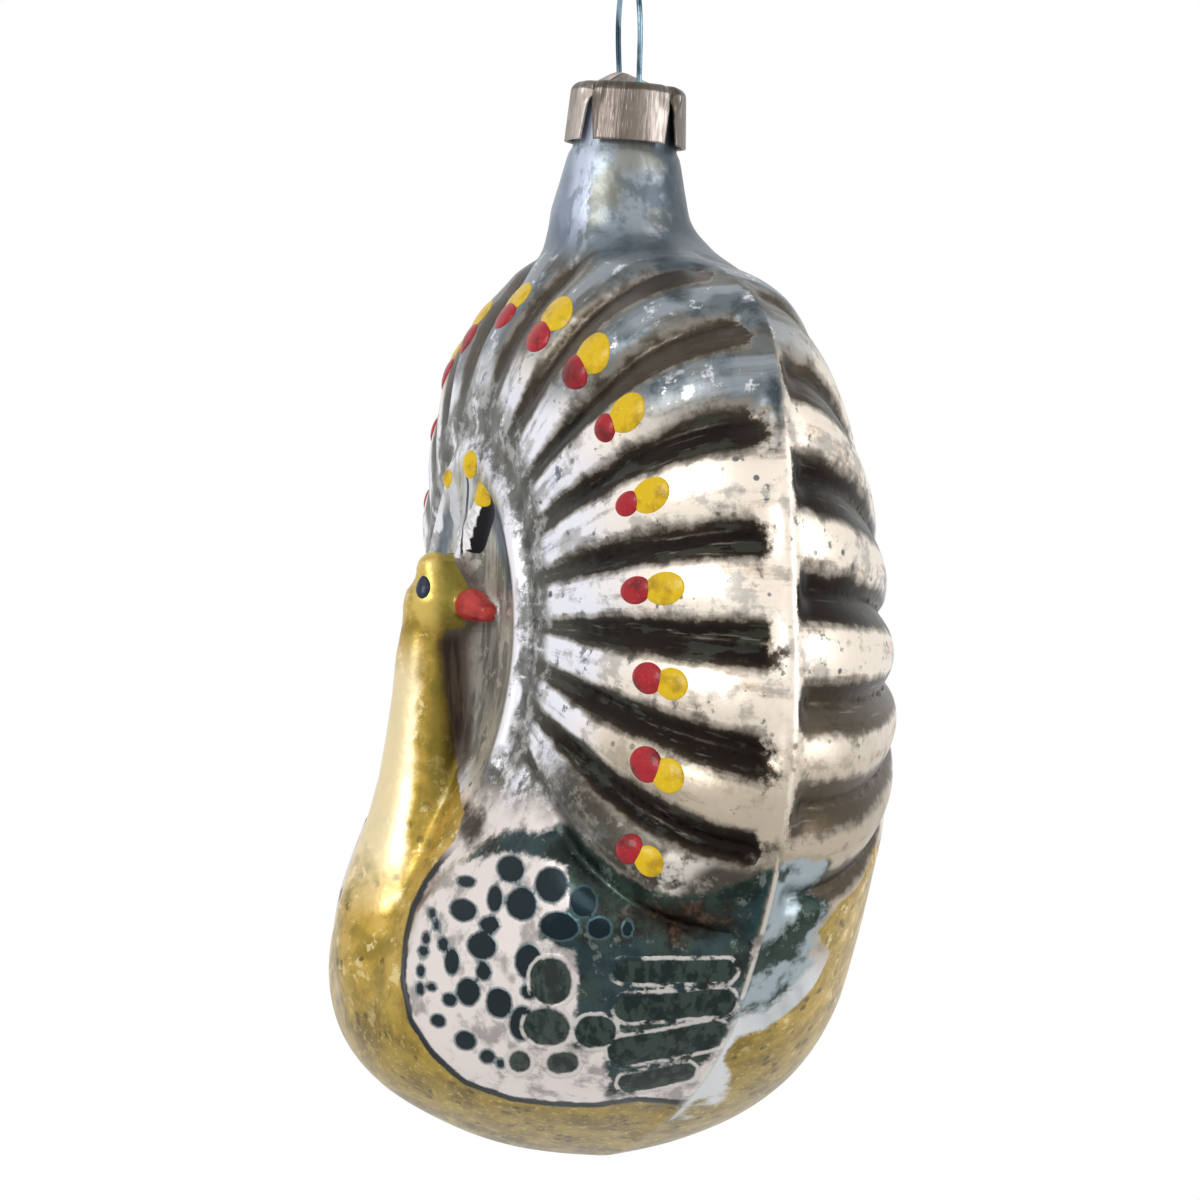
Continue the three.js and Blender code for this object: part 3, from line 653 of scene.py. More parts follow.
# Materials
class Signal:
    """A number inside a material, so that shader maths reads as ordinary maths"""

    def __init__(self, paint, socket):
        self.paint = paint
        self.socket = socket

    def __add__(self, other):
        return self.paint.maths("ADD", self, other)

    def __sub__(self, other):
        return self.paint.maths("SUBTRACT", self, other)

    def __rsub__(self, other):
        return self.paint.maths("SUBTRACT", other, self)

    def __mul__(self, other):
        return self.paint.maths("MULTIPLY", self, other)

    def __abs__(self):
        return self.paint.maths("ABSOLUTE", self)

    __radd__ = __add__
    __rmul__ = __mul__


class Paint:
    """A material and the nodes of its finish"""

    def __init__(self, name):
        self.material = bpy.data.materials.new(name)
        self.material.use_nodes = True
        self.tree = self.material.node_tree
        self.tree.nodes.clear()

    def node(self, kind, settings=None, inputs=None, output=0):
        node = self.tree.nodes.new(kind)
        for key, value in (settings or {}).items():
            setattr(node, key, value)
        for key, value in (inputs or {}).items():
            if isinstance(value, Signal):
                self.tree.links.new(value.socket, node.inputs[key])
            else:
                node.inputs[key].default_value = value
        return Signal(self, node.outputs[output]) if node.outputs else node

    def maths(self, operation, *values):
        return self.node("ShaderNodeMath", {"operation": operation}, dict(enumerate(values)))

    def most(self, a, b):
        return self.maths("MAXIMUM", a, b)

    def step(self, value, low, high):
        """Smooth step from 0 at low to 1 at high"""
        inputs = {"Value": value, "From Min": low, "From Max": high}
        return self.node("ShaderNodeMapRange", {"interpolation_type": "SMOOTHSTEP"}, inputs)

    def mix(self, first, second, share):
        return self.node("ShaderNodeMix", {"data_type": "RGBA"}, {0: share, 6: first, 7: second}, output=2)

    def blend(self, first, second, share):
        return self.node("ShaderNodeMix", {"data_type": "FLOAT"}, {0: share, 2: first, 3: second})

    def place(self):
        return self.node("ShaderNodeTexCoord", output=3)

    def number(self, name):
        return self.node("ShaderNodeAttribute", {"attribute_name": name}, output=2)

    def vector(self, name):
        return self.node("ShaderNodeAttribute", {"attribute_name": name}, output=1)

    def stretch(self, place, scale):
        return self.node("ShaderNodeMapping", None, {0: place, "Scale": scale})

    def noise(self, place, scale, detail=3.0, roughness=0.5):
        inputs = {"Vector": place, "Scale": scale, "Detail": detail, "Roughness": roughness}
        return self.node("ShaderNodeTexNoise", None, inputs)

    def spots(self, place, scale, randomness=1.0):
        """Distance from the nearest of many scattered points"""
        inputs = {"Vector": place, "Scale": scale, "Randomness": randomness}
        return self.node("ShaderNodeTexVoronoi", None, inputs)

    def finish(self, inputs, bumps=()):
        """The surface shader, with bumps given as pairs of height and distance"""
        normal = None
        for height, distance in bumps:
            bump_inputs = {"Height": height, "Distance": distance, "Strength": 1.0}
            if normal is not None:
                bump_inputs["Normal"] = normal
            normal = self.node("ShaderNodeBump", None, bump_inputs)
        if normal is not None:
            inputs = {**inputs, "Normal": normal}
        shader = self.node("ShaderNodeBsdfPrincipled", None, inputs)
        self.node("ShaderNodeOutputMaterial", None, {"Surface": shader})
        return self.material


def colour(code):
    """Linear colour from a six-figure sRGB code"""
    parts = [int(code[k : k + 2], 16) / 255 for k in (0, 2, 4)]
    return (*[c / 12.92 if c <= 0.04045 else ((c + 0.055) / 1.055) ** 2.4 for c in parts], 1.0)


def glass_paint():
    """Silvering with its tarnish, painted reflections, highlights and shade, gold lacquer on the bird, teal
    on the wing and coral on the beak
    """
    p = Paint("silvered_glass_and_lacquer")
    place = p.place()
    fan = p.vector("fan_place")
    depth = p.number("depth")
    reach = p.number("reach")
    rib = p.number("rib")
    band = p.number("band")
    seam = p.number("seam")
    front = p.number("front")
    rim = p.number("rim")
    gold = p.number("gold")
    bird = p.number("bird")
    x = p.number("x")
    y = p.number("y")
    across = p.number("across_view")
    in_view = p.number("in_view")

    broad = p.noise(place, 150.0, 2.0)
    cloud = p.noise(place, 330.0, 4.0, 0.6)
    ragged = p.noise(place, 520.0, 6.0, 0.7)
    grain = p.noise(place, 1500.0, 4.0, 0.6)
    streak = p.noise(p.stretch(fan, (0.12, 1.6, 1.0)), 1.0, 4.0, 0.6)
    fine_streak = p.noise(p.stretch(fan, (0.3, 6.0, 1.0)), 1.0, 3.0, 0.6)
    upright = p.noise(p.stretch(place, (1.0, 1.0, 0.12)), 900.0, 3.0, 0.6)

    # Silvering: cool near the bird, warm towards the seam, clouded, stained and dotted. Its light and dark
    # streaks are painted reflections.
    cool = p.mix(colour("F0F0F8"), colour("9BA0AE"), p.step(streak + 0.4 * (ragged - 0.5), 0.52, 0.72))
    warm = p.mix(colour("F8ECDD"), colour("B4987A"), p.step(streak + 0.5 * (ragged - 0.5), 0.53, 0.76))
    silver = p.mix(cool, warm, p.step(reach + 9.0 * (broad - 0.5), 23.0, 32.0))
    silver = p.mix(silver, colour("A5A29D"), 0.65 * p.step(cloud + 0.4 * (streak - 0.5), 0.51, 0.63))
    silver = p.mix(silver, colour("59646E"), 0.8 * p.step(ragged, 0.60, 0.65))
    dots = p.step(p.spots(place, 480.0), 0.19, 0.12) * p.step(broad, 0.50, 0.58)
    silver = p.mix(silver, colour("37424E"), 0.85 * dots)
    brownish = p.step(rib + 1.6 * (cloud - 0.5), 5.6, 7.2) * p.step(reach + 10.0 * (broad - 0.5), 26.0, 36.0)
    silver = p.mix(silver, colour("A3947C"), 0.75 * brownish)
    last_rib = p.step(rib + 0.8 * (cloud - 0.5), 7.35, 7.75) * front
    dull = p.mix(colour("35342D"), colour("7F7B72"), p.step(ragged + 0.8 * (streak - 0.5), 0.52, 0.66))
    pale_arc = p.step(abs(reach - 42.8), 1.6, 0.6) * p.step(cloud, 0.56, 0.46)
    dull = p.mix(dull, colour("D9D3CA"), 0.8 * pale_arc)
    silver = p.mix(silver, dull, 0.95 * last_rib * p.step(reach + 12.0 * (ragged - 0.5), 22.0, 29.0))

    # Shoulder: dark blue-grey with olive patches, and painted highlights as lighter streaks on the crests of
    # the ribs
    shoulder = p.mix(colour("6B7377"), colour("3F484D"), p.step(cloud, 0.44, 0.62))
    shoulder = p.mix(shoulder, colour("6A6455"), 0.6 * p.step(broad, 0.48, 0.60))
    # Painted highlights on the crests of the ribs
    crests = p.step(band + 2.4 * (streak - 0.5), -0.30, -0.95)
    shoulder = p.mix(shoulder, colour("A9B2BC"), 0.6 * crests * p.step(broad, 0.40, 0.52))
    shoulder = p.mix(shoulder, colour("ECEEF2"), 0.85 * crests * p.step(ragged, 0.44, 0.37))
    top = p.step(depth - 0.35 * reach + 8.0 * (1.0 - front) + 10.0 * (broad - 0.5), 37.5, 28.0)
    silver = p.mix(silver, shoulder, top)

    # Tarnish and painted dark reflections in the grooves between the ribs, with a fringe of painted shade,
    # ragged and darkest on the outer half
    front_end = p.step(seam + 2.4 * (ragged - 0.5) + 3.0 * (cloud - 0.5), 0.2, 2.6)
    back_end = p.step(0.0 - seam + 2.0 * (ragged - 0.5), -0.3, 1.4)
    uneven = p.noise(p.stretch(fan, (0.05, 0.55, 1.0)), 1.0, 1.0)
    banded = p.number("banded") * p.blend(back_end, front_end, front)
    wobble = 0.8 * (streak - 0.5) + 0.7 * (cloud - 0.5)
    groove = band + wobble + 1.2 * (uneven - 0.55) + 1.4 * (banded - 1.0)
    groove = groove - 0.32 * p.step(reach, 27.0, 14.0) + 0.15 * (1.0 - front)
    # A fringe of painted shade before each dark band
    shade_fringe = p.mix(colour("8C8479"), colour("5F584D"), p.step(cloud, 0.45, 0.6))
    silver = p.mix(silver, shade_fringe, 0.85 * p.step(groove + 0.8 * (ragged - 0.5), -0.42, 0.05))
    # The dark bands: tarnish, and painted dark reflections over it
    tarnish_and_dark_reflection = p.mix(colour("30261C"), colour("18110C"), p.step(groove, 0.2, 0.6))
    tarnish_and_dark_reflection = p.mix(tarnish_and_dark_reflection, colour("4A4D44"), 0.45 * p.step(streak + 0.6 * (cloud - 0.5), 0.54, 0.62))
    tarnish_and_dark_reflection = p.mix(tarnish_and_dark_reflection, colour("54534C"), 0.8 * p.step(reach + 9.0 * (cloud - 0.5), 26.0, 16.0))
    tarnish_and_dark_reflection = p.mix(tarnish_and_dark_reflection, colour("6A5D4C"), 0.5 * p.step(rib + 1.0 * (cloud - 0.5), 5.4, 6.4) * (1.0 - front))
    tarnish_and_dark_reflection = p.mix(tarnish_and_dark_reflection, colour("453C30"), 0.7 * p.step(depth + 8.0 * (broad - 0.5), 48.0, 40.0))
    tarnish_and_dark_reflection = p.mix(tarnish_and_dark_reflection, colour("8F897D"), 0.4 * p.step(fine_streak, 0.58, 0.68) * p.step(streak, 0.47, 0.6))
    shade = p.step(groove + 0.7 * (ragged - 0.5), -0.04, 0.32)
    silver = p.mix(silver, tarnish_and_dark_reflection, (0.99 - 0.1 * top) * shade)
    by_seam = p.step(depth, 94.0, 98.0) * (1.0 - front)
    streaked = p.mix(colour("E3E8EE"), colour("7F9299"), p.step(streak, 0.5, 0.64))
    silver = p.mix(silver, streaked, 0.8 * by_seam)

    # Neck: painted highlights on its left and painted shade on its right, with soft patches
    neck = p.mix(colour("949DA4"), colour("66727B"), p.step(cloud, 0.44, 0.60))
    neck = p.mix(neck, colour("86826C"), 0.55 * p.step(broad, 0.46, 0.56))
    # Painted highlight: a soft upright band near the middle
    neck = p.mix(neck, colour("DDDEE0"), 0.7 * p.step(cloud, 0.46, 0.36) * p.step(abs(y - 2.0), 3.0, 1.0))
    # Painted shade on its right, a lighter left side and a painted gleam
    neck = p.mix(neck, colour("424F59"), 0.85 * p.step(in_view + 3.0 * (cloud - 0.5), 2.2, 5.2))
    neck = p.mix(neck, colour("8D99AC"), 0.8 * p.step(in_view + 2.0 * (cloud - 0.5), -3.4, -4.6))
    gleam = p.step(abs(in_view + 4.0 + 1.5 * (broad - 0.5)), 1.5, 0.5)
    gleam = gleam * p.step(upright + 0.5 * (cloud - 0.5), 0.60, 0.48)
    neck = p.mix(neck, colour("C6D0E4"), 0.9 * gleam)
    neck = p.mix(neck, colour("51606D"), 0.6 * p.step(depth + 4.0 * (cloud - 0.5), 24.5, 28.0))
    on_neck = p.step(depth + 5.0 * (broad - 0.5), 31.5, 27.5)
    silver = p.mix(silver, neck, on_neck)

    # Panel behind the bird, with painted shadow inside its rim and painted shade round the bird, its broken
    # rim with a painted highlight along it, and the mottled ring outside it
    low_rim = p.step(depth, 84.0, 79.0) * front
    panel = p.mix(colour("B7B4AC"), colour("84857F"), p.step(upright + 0.4 * (cloud - 0.5), 0.44, 0.62))
    panel = p.mix(panel, colour("CFC8C0"), 0.8 * p.step(ragged, 0.46, 0.38))
    # Painted shadow just inside the rim
    shadow_in_rim = p.step(abs(rim - 0.86), 0.13, 0.05) * p.step(abs(depth - 59.0), 6.0, 3.0)
    panel = p.mix(panel, colour("45566A"), 0.8 * shadow_in_rim)
    # Painted shade round the bird
    shade_round_bird = p.step(bird + 1.6 * (cloud - 0.5), -2.6, -1.2) * p.step(depth, 57.0, 62.0)
    panel = p.mix(panel, colour("6A5A4E"), 0.7 * shade_round_bird)
    silver = p.mix(silver, panel, p.step(rim + 0.3 * (cloud - 0.5), 1.06, 0.92) * low_rim)
    ring = p.step(abs(rim - 1.23 + 0.3 * (ragged - 0.5)), 0.22, 0.12) * low_rim
    mottle = p.mix(colour("55554F"), colour("A3A2A0"), p.step(ragged + 0.5 * (cloud - 0.5), 0.53, 0.40))
    silver = p.mix(silver, mottle, 0.9 * ring * p.step(band + 1.6 * (ragged - 0.5), -1.25, -0.85))
    # Painted highlight along the rim's ridge
    rim_highlight = p.step(abs(rim - 1.02 + 0.25 * (broad - 0.5)), 0.075, 0.045)
    rim_highlight = rim_highlight * p.step(depth, 53.0, 56.0) * low_rim
    rim_highlight = rim_highlight * p.step(depth + 3.0 * (ragged - 0.5), 79.5, 77.0)
    silver = p.mix(silver, colour("F1EFF6"), 0.95 * rim_highlight * p.step(cloud, 0.60, 0.55))
    by_breast = p.step(abs(depth - 82.5 + 4.0 * (cloud - 0.5)), 5.0, 2.0)
    by_breast = by_breast * p.step(rib, 7.9, 8.4) * p.step(rim, 0.9, 1.0)
    broken = p.step(ragged + 0.5 * (broad - 0.5), 0.42, 0.52)
    silver = p.mix(silver, mottle, 0.85 * by_breast * broken * front)

    # Crest: pale feathers, a dark line on the middle one, the last one white beside a black patch of painted
    # dark reflection
    pale_feathers = p.step(p.number("crest_pale") + 0.3 * (grain - 0.5), -0.15, 0.15)
    silver = p.mix(silver, colour("D3D5DB"), 0.75 * pale_feathers)
    on_crest = p.number("crest_white") + 0.3 * (grain - 0.5)
    silver = p.mix(silver, colour("F6F4F6"), p.step(on_crest, -0.12, 0.05))
    # Painted dark reflection beside the white feather
    on_dark_reflection = p.number("crest_black") + 0.3 * (grain - 0.5)
    silver = p.mix(silver, colour("16161B"), p.step(on_dark_reflection, -0.12, 0.05))
    dark_line = pale_feathers * p.step(abs(p.number("crest_line")), 0.34, 0.18)
    silver = p.mix(silver, colour("2B2E33"), 0.95 * dark_line)

    # Wing: pinkish silver with dark scales, teal and brown outside them with painted shadow under the last
    # rib, pale outlines round the feathers
    on_wing = p.step(rib + 0.4 * (cloud - 0.5), 8.4, 8.7) * front
    on_wing = on_wing * p.step(depth + 5.0 * (cloud - 0.5), 81.0, 84.5)
    ground = p.mix(colour("E6DCD8"), colour("A7A19D"), p.step(cloud, 0.50, 0.66))
    ground = p.mix(ground, colour("6B4A3C"), 0.8 * p.step(bird + 3.0 * (cloud - 0.5), -5.0, -2.0))
    silver = p.mix(silver, ground, on_wing)
    teal = p.mix(colour("2E3F38"), colour("182523"), p.step(cloud, 0.42, 0.60))
    teal = p.mix(teal, colour("264148"), 0.5 * p.step(broad, 0.50, 0.56))
    teal = p.mix(teal, colour("77807A"), 0.6 * p.step(ragged, 0.57, 0.64))
    paler = p.step(broad + 0.8 * (cloud - 0.5), 0.42, 0.58)
    teal = p.mix(teal, colour("B4C2C8"), 0.75 * paler * (1.0 - front))
    on_teal = p.step(p.number("teal") + 2.4 * (ragged - 0.5), -0.3, 0.4)
    silver = p.mix(silver, teal, 0.98 * on_teal)
    # Brown patches; the one under the last rib is painted shadow
    brown_and_shadow_mask = p.step(p.number("brown") + 1.6 * (cloud - 0.5) + 0.9 * (ragged - 0.5), -0.1, 0.7) * front
    brown = p.mix(colour("241910"), colour("4B382C"), p.step(ragged, 0.5, 0.6))
    silver = p.mix(silver, brown, 0.95 * brown_and_shadow_mask)
    scales = p.number("scales") + 0.45 * (ragged - 0.5)
    silver = p.mix(silver, colour("4B656B"), 0.8 * p.step(scales, -0.30, -0.06) * on_wing)
    silver = p.mix(silver, colour("122026"), 0.97 * p.step(scales, -0.06, 0.08) * on_wing)
    cell = p.number("cells") + 0.6 * (ragged - 0.5)
    inner = p.mix(colour("3A4641"), colour("1E2A28"), p.step(upright + 0.7 * (ragged - 0.5), 0.42, 0.6))
    inside = p.step(cell, 0.1, 0.4) * on_wing
    silver = p.mix(silver, inner, 0.98 * inside)
    outline = p.step(abs(cell), 0.27, 0.10) * on_wing
    unworn = p.step(cloud + 0.5 * (broad - 0.5), 0.62, 0.52)
    silver = p.mix(silver, colour("D2CDC8"), 0.85 * outline * unworn)

    # Gold lacquer: ochre, olive below, with dark specks and worn highlights, painted shade under the head
    # and on the right of the neck, and a painted highlight on its left
    ochre = p.mix(colour("CDA94E"), colour("97802F"), p.step(cloud, 0.34, 0.68))
    low = p.step(depth + 8.0 * (broad - 0.5), 96.0, 110.0)
    lower = p.mix(colour("A08726"), colour("6C5716"), p.step(cloud + 0.4 * (broad - 0.5), 0.32, 0.72))
    ochre = p.mix(ochre, lower, 0.85 * low)
    ochre = p.mix(ochre, colour("F3DFA6"), 0.75 * p.step(ragged, 0.44, 0.37) * (1.0 - 0.8 * low))
    ochre = p.mix(ochre, colour("C9B25C"), 0.6 * p.step(grain, 0.44, 0.36) * low)
    ochre = p.mix(ochre, colour("7E6A24"), 0.5 * p.step(ragged, 0.56, 0.66))
    specks = p.step(p.spots(place, 560.0) + 0.25 * (ragged - 0.5), 0.30, 0.16)
    specks = specks * p.step(depth + 12.0 * (broad - 0.5), 82.0, 90.0)
    ochre = p.mix(ochre, colour("4E3A12"), 0.75 * specks * p.step(cloud, 0.44, 0.52))
    # Painted shade under the head
    shade_under_head = p.step(abs(depth - 67.3), 1.6, 0.4) * p.step(y, -17.4, -16.2)
    ochre = p.mix(ochre, colour("6B5A12"), 0.7 * shade_under_head)
    on_head = p.step(depth, 68.0, 65.5)
    ochre = p.mix(ochre, colour("DCC068"), 0.7 * on_head * p.step(cloud, 0.62, 0.45))
    on_cheek = p.step(across + 1.5 * (cloud - 0.5), -16.4, -14.4)
    ochre = p.mix(ochre, colour("7A7222"), 0.75 * on_head * on_cheek)
    # Painted shade on the right of the neck
    olive = p.step(across + 1.0 * (cloud - 0.5), -16.0, -14.6)
    olive = olive * p.step(depth, 67.0, 70.0) * p.step(depth, 88.0, 80.0)
    ochre = p.mix(ochre, colour("77691E"), 0.75 * olive)
    # Painted highlight on the left of the neck and breast
    cream_highlight = p.step(across + 2.4 * (cloud - 0.5), -15.8, -17.0) * p.step(depth, 67.0, 73.0)
    ochre = p.mix(ochre, colour("F6E6BC"), 0.8 * cream_highlight * p.step(depth + 8.0 * (cloud - 0.5), 96.0, 88.0))
    edge = gold + 0.5 * (cloud - 0.5) + 0.25 * (grain - 0.5) + 1.5 * (broad - 0.5) * (1.0 - front)
    # A dark line along the gold's edge on the wing: painted shade in the groove at the wing's edge
    line = p.step(edge, -0.75, -0.5) * p.step(depth, 87.0, 90.0) * front
    silver = p.mix(silver, colour("20292D"), line)
    on_gold = p.step(edge, -0.12, 0.08)
    face = p.mix(silver, ochre, on_gold)

    # The shaded side of the neck, between the gold and the panel
    beside = p.number("beside") + 1.2 * (cloud - 0.5)
    shaded = p.step(beside, -0.9, 0.2) * p.step(beside, 2.6, 1.2) * p.step(abs(x), 6.5, 5.0)
    shaded = shaded * p.step(depth, 66.5, 68.5) * p.step(depth + 4.0 * (cloud - 0.5), 84.0, 76.0)
    face = p.mix(face, p.mix(colour("43332D"), colour("6A5A4C"), p.step(upright, 0.48, 0.62)), 0.9 * shaded)

    # Beak and the line of the seam
    on_beak = p.step(p.number("beak"), -0.2, 0.0)
    coral = p.mix(colour("C2403A"), colour("8E2422"), p.step(cloud, 0.4, 0.65))
    face = p.mix(face, coral, on_beak)
    seam_line = p.step(abs(seam), 0.35, 0.10) * p.step(depth, 55.0, 66.0) * (1.0 - on_gold)
    face = p.mix(face, colour("EAE2D8"), 0.6 * seam_line * p.step(cloud, 0.58, 0.47))

    lacquer = p.most(on_gold, on_beak)
    by_neck = p.step(bird, -4.5, -2.0) * p.step(depth, 56.0, 60.0)
    by_neck = by_neck * p.step(depth, 88.0, 84.0) * (1.0 - lacquer)
    dark = p.most(p.most(shade, on_teal), p.most(p.most(line, brown_and_shadow_mask), inside))
    inputs = {
        "Base Color": face,
        "Metallic": p.blend(p.blend(p.blend(0.6, 0.85, dark), 0.55, on_gold), 0.1, on_beak),
        "Roughness": 0.30 + 0.15 * cloud + 0.4 * by_neck,
        "Specular IOR Level": 0.25,
        "Coat Weight": 0.05 + 0.1 * lacquer,
        "Coat Roughness": 0.12,
    }
    marks = p.step(scales, -0.2, 0.1) * on_wing + outline
    return p.finish(inputs, [(cloud, 0.00010), (marks, 0.00008)])


def drop_paint(name, main, dark, pale):
    """Glossy hand-dabbed lacquer, thinner and paler in places"""
    p = Paint(name)
    cloud = p.noise(p.place(), 500.0, 3.0)
    grain = p.noise(p.place(), 2600.0, 3.0, 0.6)
    face = p.mix(colour(main), colour(dark), p.step(cloud, 0.45, 0.7))
    face = p.mix(face, colour(pale), 0.4 * p.step(grain, 0.56, 0.7))
    inputs = {
        "Base Color": face,
        "Roughness": 0.35 + 0.1 * cloud,
        "Specular IOR Level": 0.25,
        "Coat Weight": 0.2,
        "Coat Roughness": 0.1,
    }
    return p.finish(inputs, [(cloud, 0.0001), (grain, 0.00002)])


def cap_paint():
    """Thin nickel-plated sheet, dulled, with upright drawing marks"""
    p = Paint("dulled_cap_metal")
    place = p.place()
    turn = p.vector("cap_place")
    marks = p.noise(p.stretch(turn, (14.0, 0.25, 1.0)), 1.0, 2.0, 0.5)
    fine = p.noise(p.stretch(turn, (60.0, 0.3, 1.0)), 1.0, 2.0, 0.5)
    cloud = p.noise(place, 450.0, 3.0)
    across = p.number("cap_across")
    metal = p.mix(colour("7C726A"), colour("CFC4BC"), p.step(across + 1.6 * (marks - 0.5), 0.0, 0.95))
    metal = p.mix(metal, colour("5E554D"), 0.6 * p.step(marks, 0.52, 0.64))
    metal = p.mix(metal, colour("F1EAE4"), 0.5 * p.step(fine, 0.56, 0.66) * p.step(cloud, 0.45, 0.6))
    # Darker under the top edge and beside one side of each slot
    darkening = p.step(p.number("cap_dirt") + 0.8 * (cloud - 0.5), 0.35, 0.75)
    inputs = {
        "Base Color": p.mix(metal, colour("3E3730"), 0.75 * darkening),
        "Metallic": 0.85,
        "Roughness": 0.3 + 0.2 * cloud,
        "Specular IOR Level": 0.3,
    }
    return p.finish(inputs, [(marks, 0.00008), (cloud, 0.00008)])


def wire_paint():
    """Drawn steel with a blue cast and dark tarnish"""
    p = Paint("hanger_steel")
    place = p.place()
    cloud = p.noise(p.stretch(place, (1.0, 1.0, 0.3)), 700.0, 3.0)
    grain = p.noise(place, 3000.0, 3.0)
    metal = p.mix(colour("86A0B0"), colour("2F434F"), p.step(cloud, 0.40, 0.62))
    inputs = {"Base Color": metal, "Metallic": 0.9, "Roughness": 0.22 + 0.15 * grain}
    return p.finish(inputs, [(grain, 0.00003)])


# Glass piece
def glass_values(mesh, points):
    """What the material needs to know at each point of the glass"""
    x, y, depth = points.T
    off_seam = seam_y(depth) - y
    front = off_seam > 0
    rib, reach = rib_at(x, depth)
    across = marks_place(x, y, depth)
    in_view = x * math.cos(CAMERA_AZIMUTH) + y * math.sin(CAMERA_AZIMUTH)
    turn = 2 * np.pi * (rib - np.where(front, DARK_BAND_FRONT, DARK_BAND_BACK))
    banded = np.where(
        front,
        rise(*FRONT_BANDS_FROM, rim_place(x, depth)) * (1 - rise(*FRONT_BANDS_END, rib)),
        rise(*BACK_BANDS_FROM, reach) * (1 - rise(*BACK_GROOVES_END, rib)),
    )
    gold, teal = [
        np.where(front, inside_outline(on_chart, across, depth), inside_outline(behind, np.abs(x), depth))
        for on_chart, behind in ((GOLD_FRONT, GOLD_BACK), (TEAL_FRONT, TEAL_BACK))
    ]
    patches = [
        1 - np.hypot((across - patch_across) / width, (depth - patch_depth) / height)
        for patch_across, patch_depth, width, height in BROWN_AND_SHADOW_PATCHES
    ]
    bird = to_bird(x, y, depth, web=False)
    neck_edge = np.interp(depth, *np.array(NECK_EDGE).T)
    gold = np.maximum(gold, np.minimum(bird + GOLD_PAST_BIRD, neck_edge - across))
    off_feathers = [np.where(front, to_segment(x, depth, CREST_ROOT, tip), FAR_OFF) for tip in CREST_TIPS]
    beside_last = beside_feather(x, depth, CREST_TIPS[-1])
    dark_reflection_patch = np.where(front, CREST_DARK_REFLECTION_RADIUS - to_segment(x, depth, *CREST_DARK_REFLECTION), -FAR_OFF)
    apart = np.where(x > 0, 0.0, SIDES_APART) + np.where(front, 0.0, BACK_APART)
    values = {
        "x": x,
        "y": y,
        "across_view": across,
        "in_view": in_view,
        "depth": depth,
        "reach": reach,
        "rib": rib,
        "band": np.cos(turn),
        "banded": banded * rise(*BANDS_FROM, depth),
        "seam": off_seam,
        "front": rise(-0.5, 0.5, off_seam),
        "rim": rim_place(x, depth),
        "bird": bird,
        "gold": np.minimum(gold, np.where(front, neck_edge - across, FAR_OFF)),
        "beside": across - neck_edge,
        "scales": np.where(front, scale_distance(across, depth), -FAR_OFF),
        "cells": np.where(front, cell_distance(across, depth), -FAR_OFF),
        "teal": teal,
        "brown": np.maximum.reduce(patches),
        "crest_white": np.minimum(CREST_PAINT - off_feathers[-1], CREST_WHITE_END - beside_last),
        "crest_black": np.minimum(dark_reflection_patch, beside_last - CREST_WHITE_END),
        "crest_pale": CREST_PAINT - np.minimum.reduce(off_feathers[:-1]),
        "crest_line": beside_feather(x, depth, CREST_TIPS[1]) - CREST_LINE,
        "beak": to_beak(x, y, depth),
        "fan_place": np.stack([reach, rib * STREAK_SCALE, apart], 1),
    }
    for name, numbers in values.items():
        set_values(mesh, name, numbers)


def make_glass():
    axes = [np.arange(low, high + GRID_STEP, GRID_STEP) for low, high in zip(GRID_LOW, GRID_HIGH)]
    values = np.empty([len(axis) for axis in axes], np.float32)
    for k, depth in enumerate(axes[2]):
        x, y = np.meshgrid(axes[0], axes[1], indexing="ij")
        values[:, :, k] = field(np.stack([x, y, np.full_like(x, depth)], -1), fine=False)
    points, quads = surface_net(values, GRID_LOW, GRID_STEP)
    points, _ = settle(points, 2)
    points, _ = settle(even_out(points, quads, 2), 3)
    # Depth runs down, so the faces turn over on the way into the model's frame
    glass = mesh_object("glass_body_blown", to_model(points), quads[:, ::-1])
    glass_values(glass.data, points)
    glass.data.materials.append(glass_paint())
    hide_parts("glass_body")
    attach(glass, "glass")
    return glass


# Lacquer drops on the glass, by Geometry Nodes
class Tree:
    """A Geometry Nodes tree and the nodes in it"""

    def __init__(self, name, sockets):
        self.tree = bpy.data.node_groups.new(name, "GeometryNodeTree")
        for label, kind, value in [("Geometry", "NodeSocketGeometry", None)] + sockets:
            socket = self.tree.interface.new_socket(label, in_out="INPUT", socket_type=kind)
            if value is not None:
                socket.default_value = value
        self.tree.interface.new_socket("Geometry", in_out="OUTPUT", socket_type="NodeSocketGeometry")
        self.start = self.tree.nodes.new("NodeGroupInput")
        self.end = self.tree.nodes.new("NodeGroupOutput")

    def add(self, kind, settings=None, inputs=None):
        node = self.tree.nodes.new(kind)
        for key, value in (settings or {}).items():
            setattr(node, key, value)
        for key, value in (inputs or {}).items():
            if isinstance(value, bpy.types.NodeSocket):
                self.tree.links.new(value, node.inputs[key])
            else:
                node.inputs[key].default_value = value
        return node

    def node(self, kind, settings=None, inputs=None, output=0):
        return self.add(kind, settings, inputs).outputs[output]

    def given(self, label):
        return self.start.outputs[label]

    def attribute(self, name, kind="FLOAT_VECTOR"):
        return self.node("GeometryNodeInputNamedAttribute", {"data_type": kind}, {"Name": name})

    def vector_maths(self, operation, a, b=None, scale=None, output=0):
        inputs = {0: a}
        if b is not None:
            inputs[1] = b
        if scale is not None:
            inputs["Scale"] = scale
        return self.node("ShaderNodeVectorMath", {"operation": operation}, inputs, output)

    def close(self, geometry):
        self.tree.links.new(geometry, self.end.inputs[0])
        return self.tree


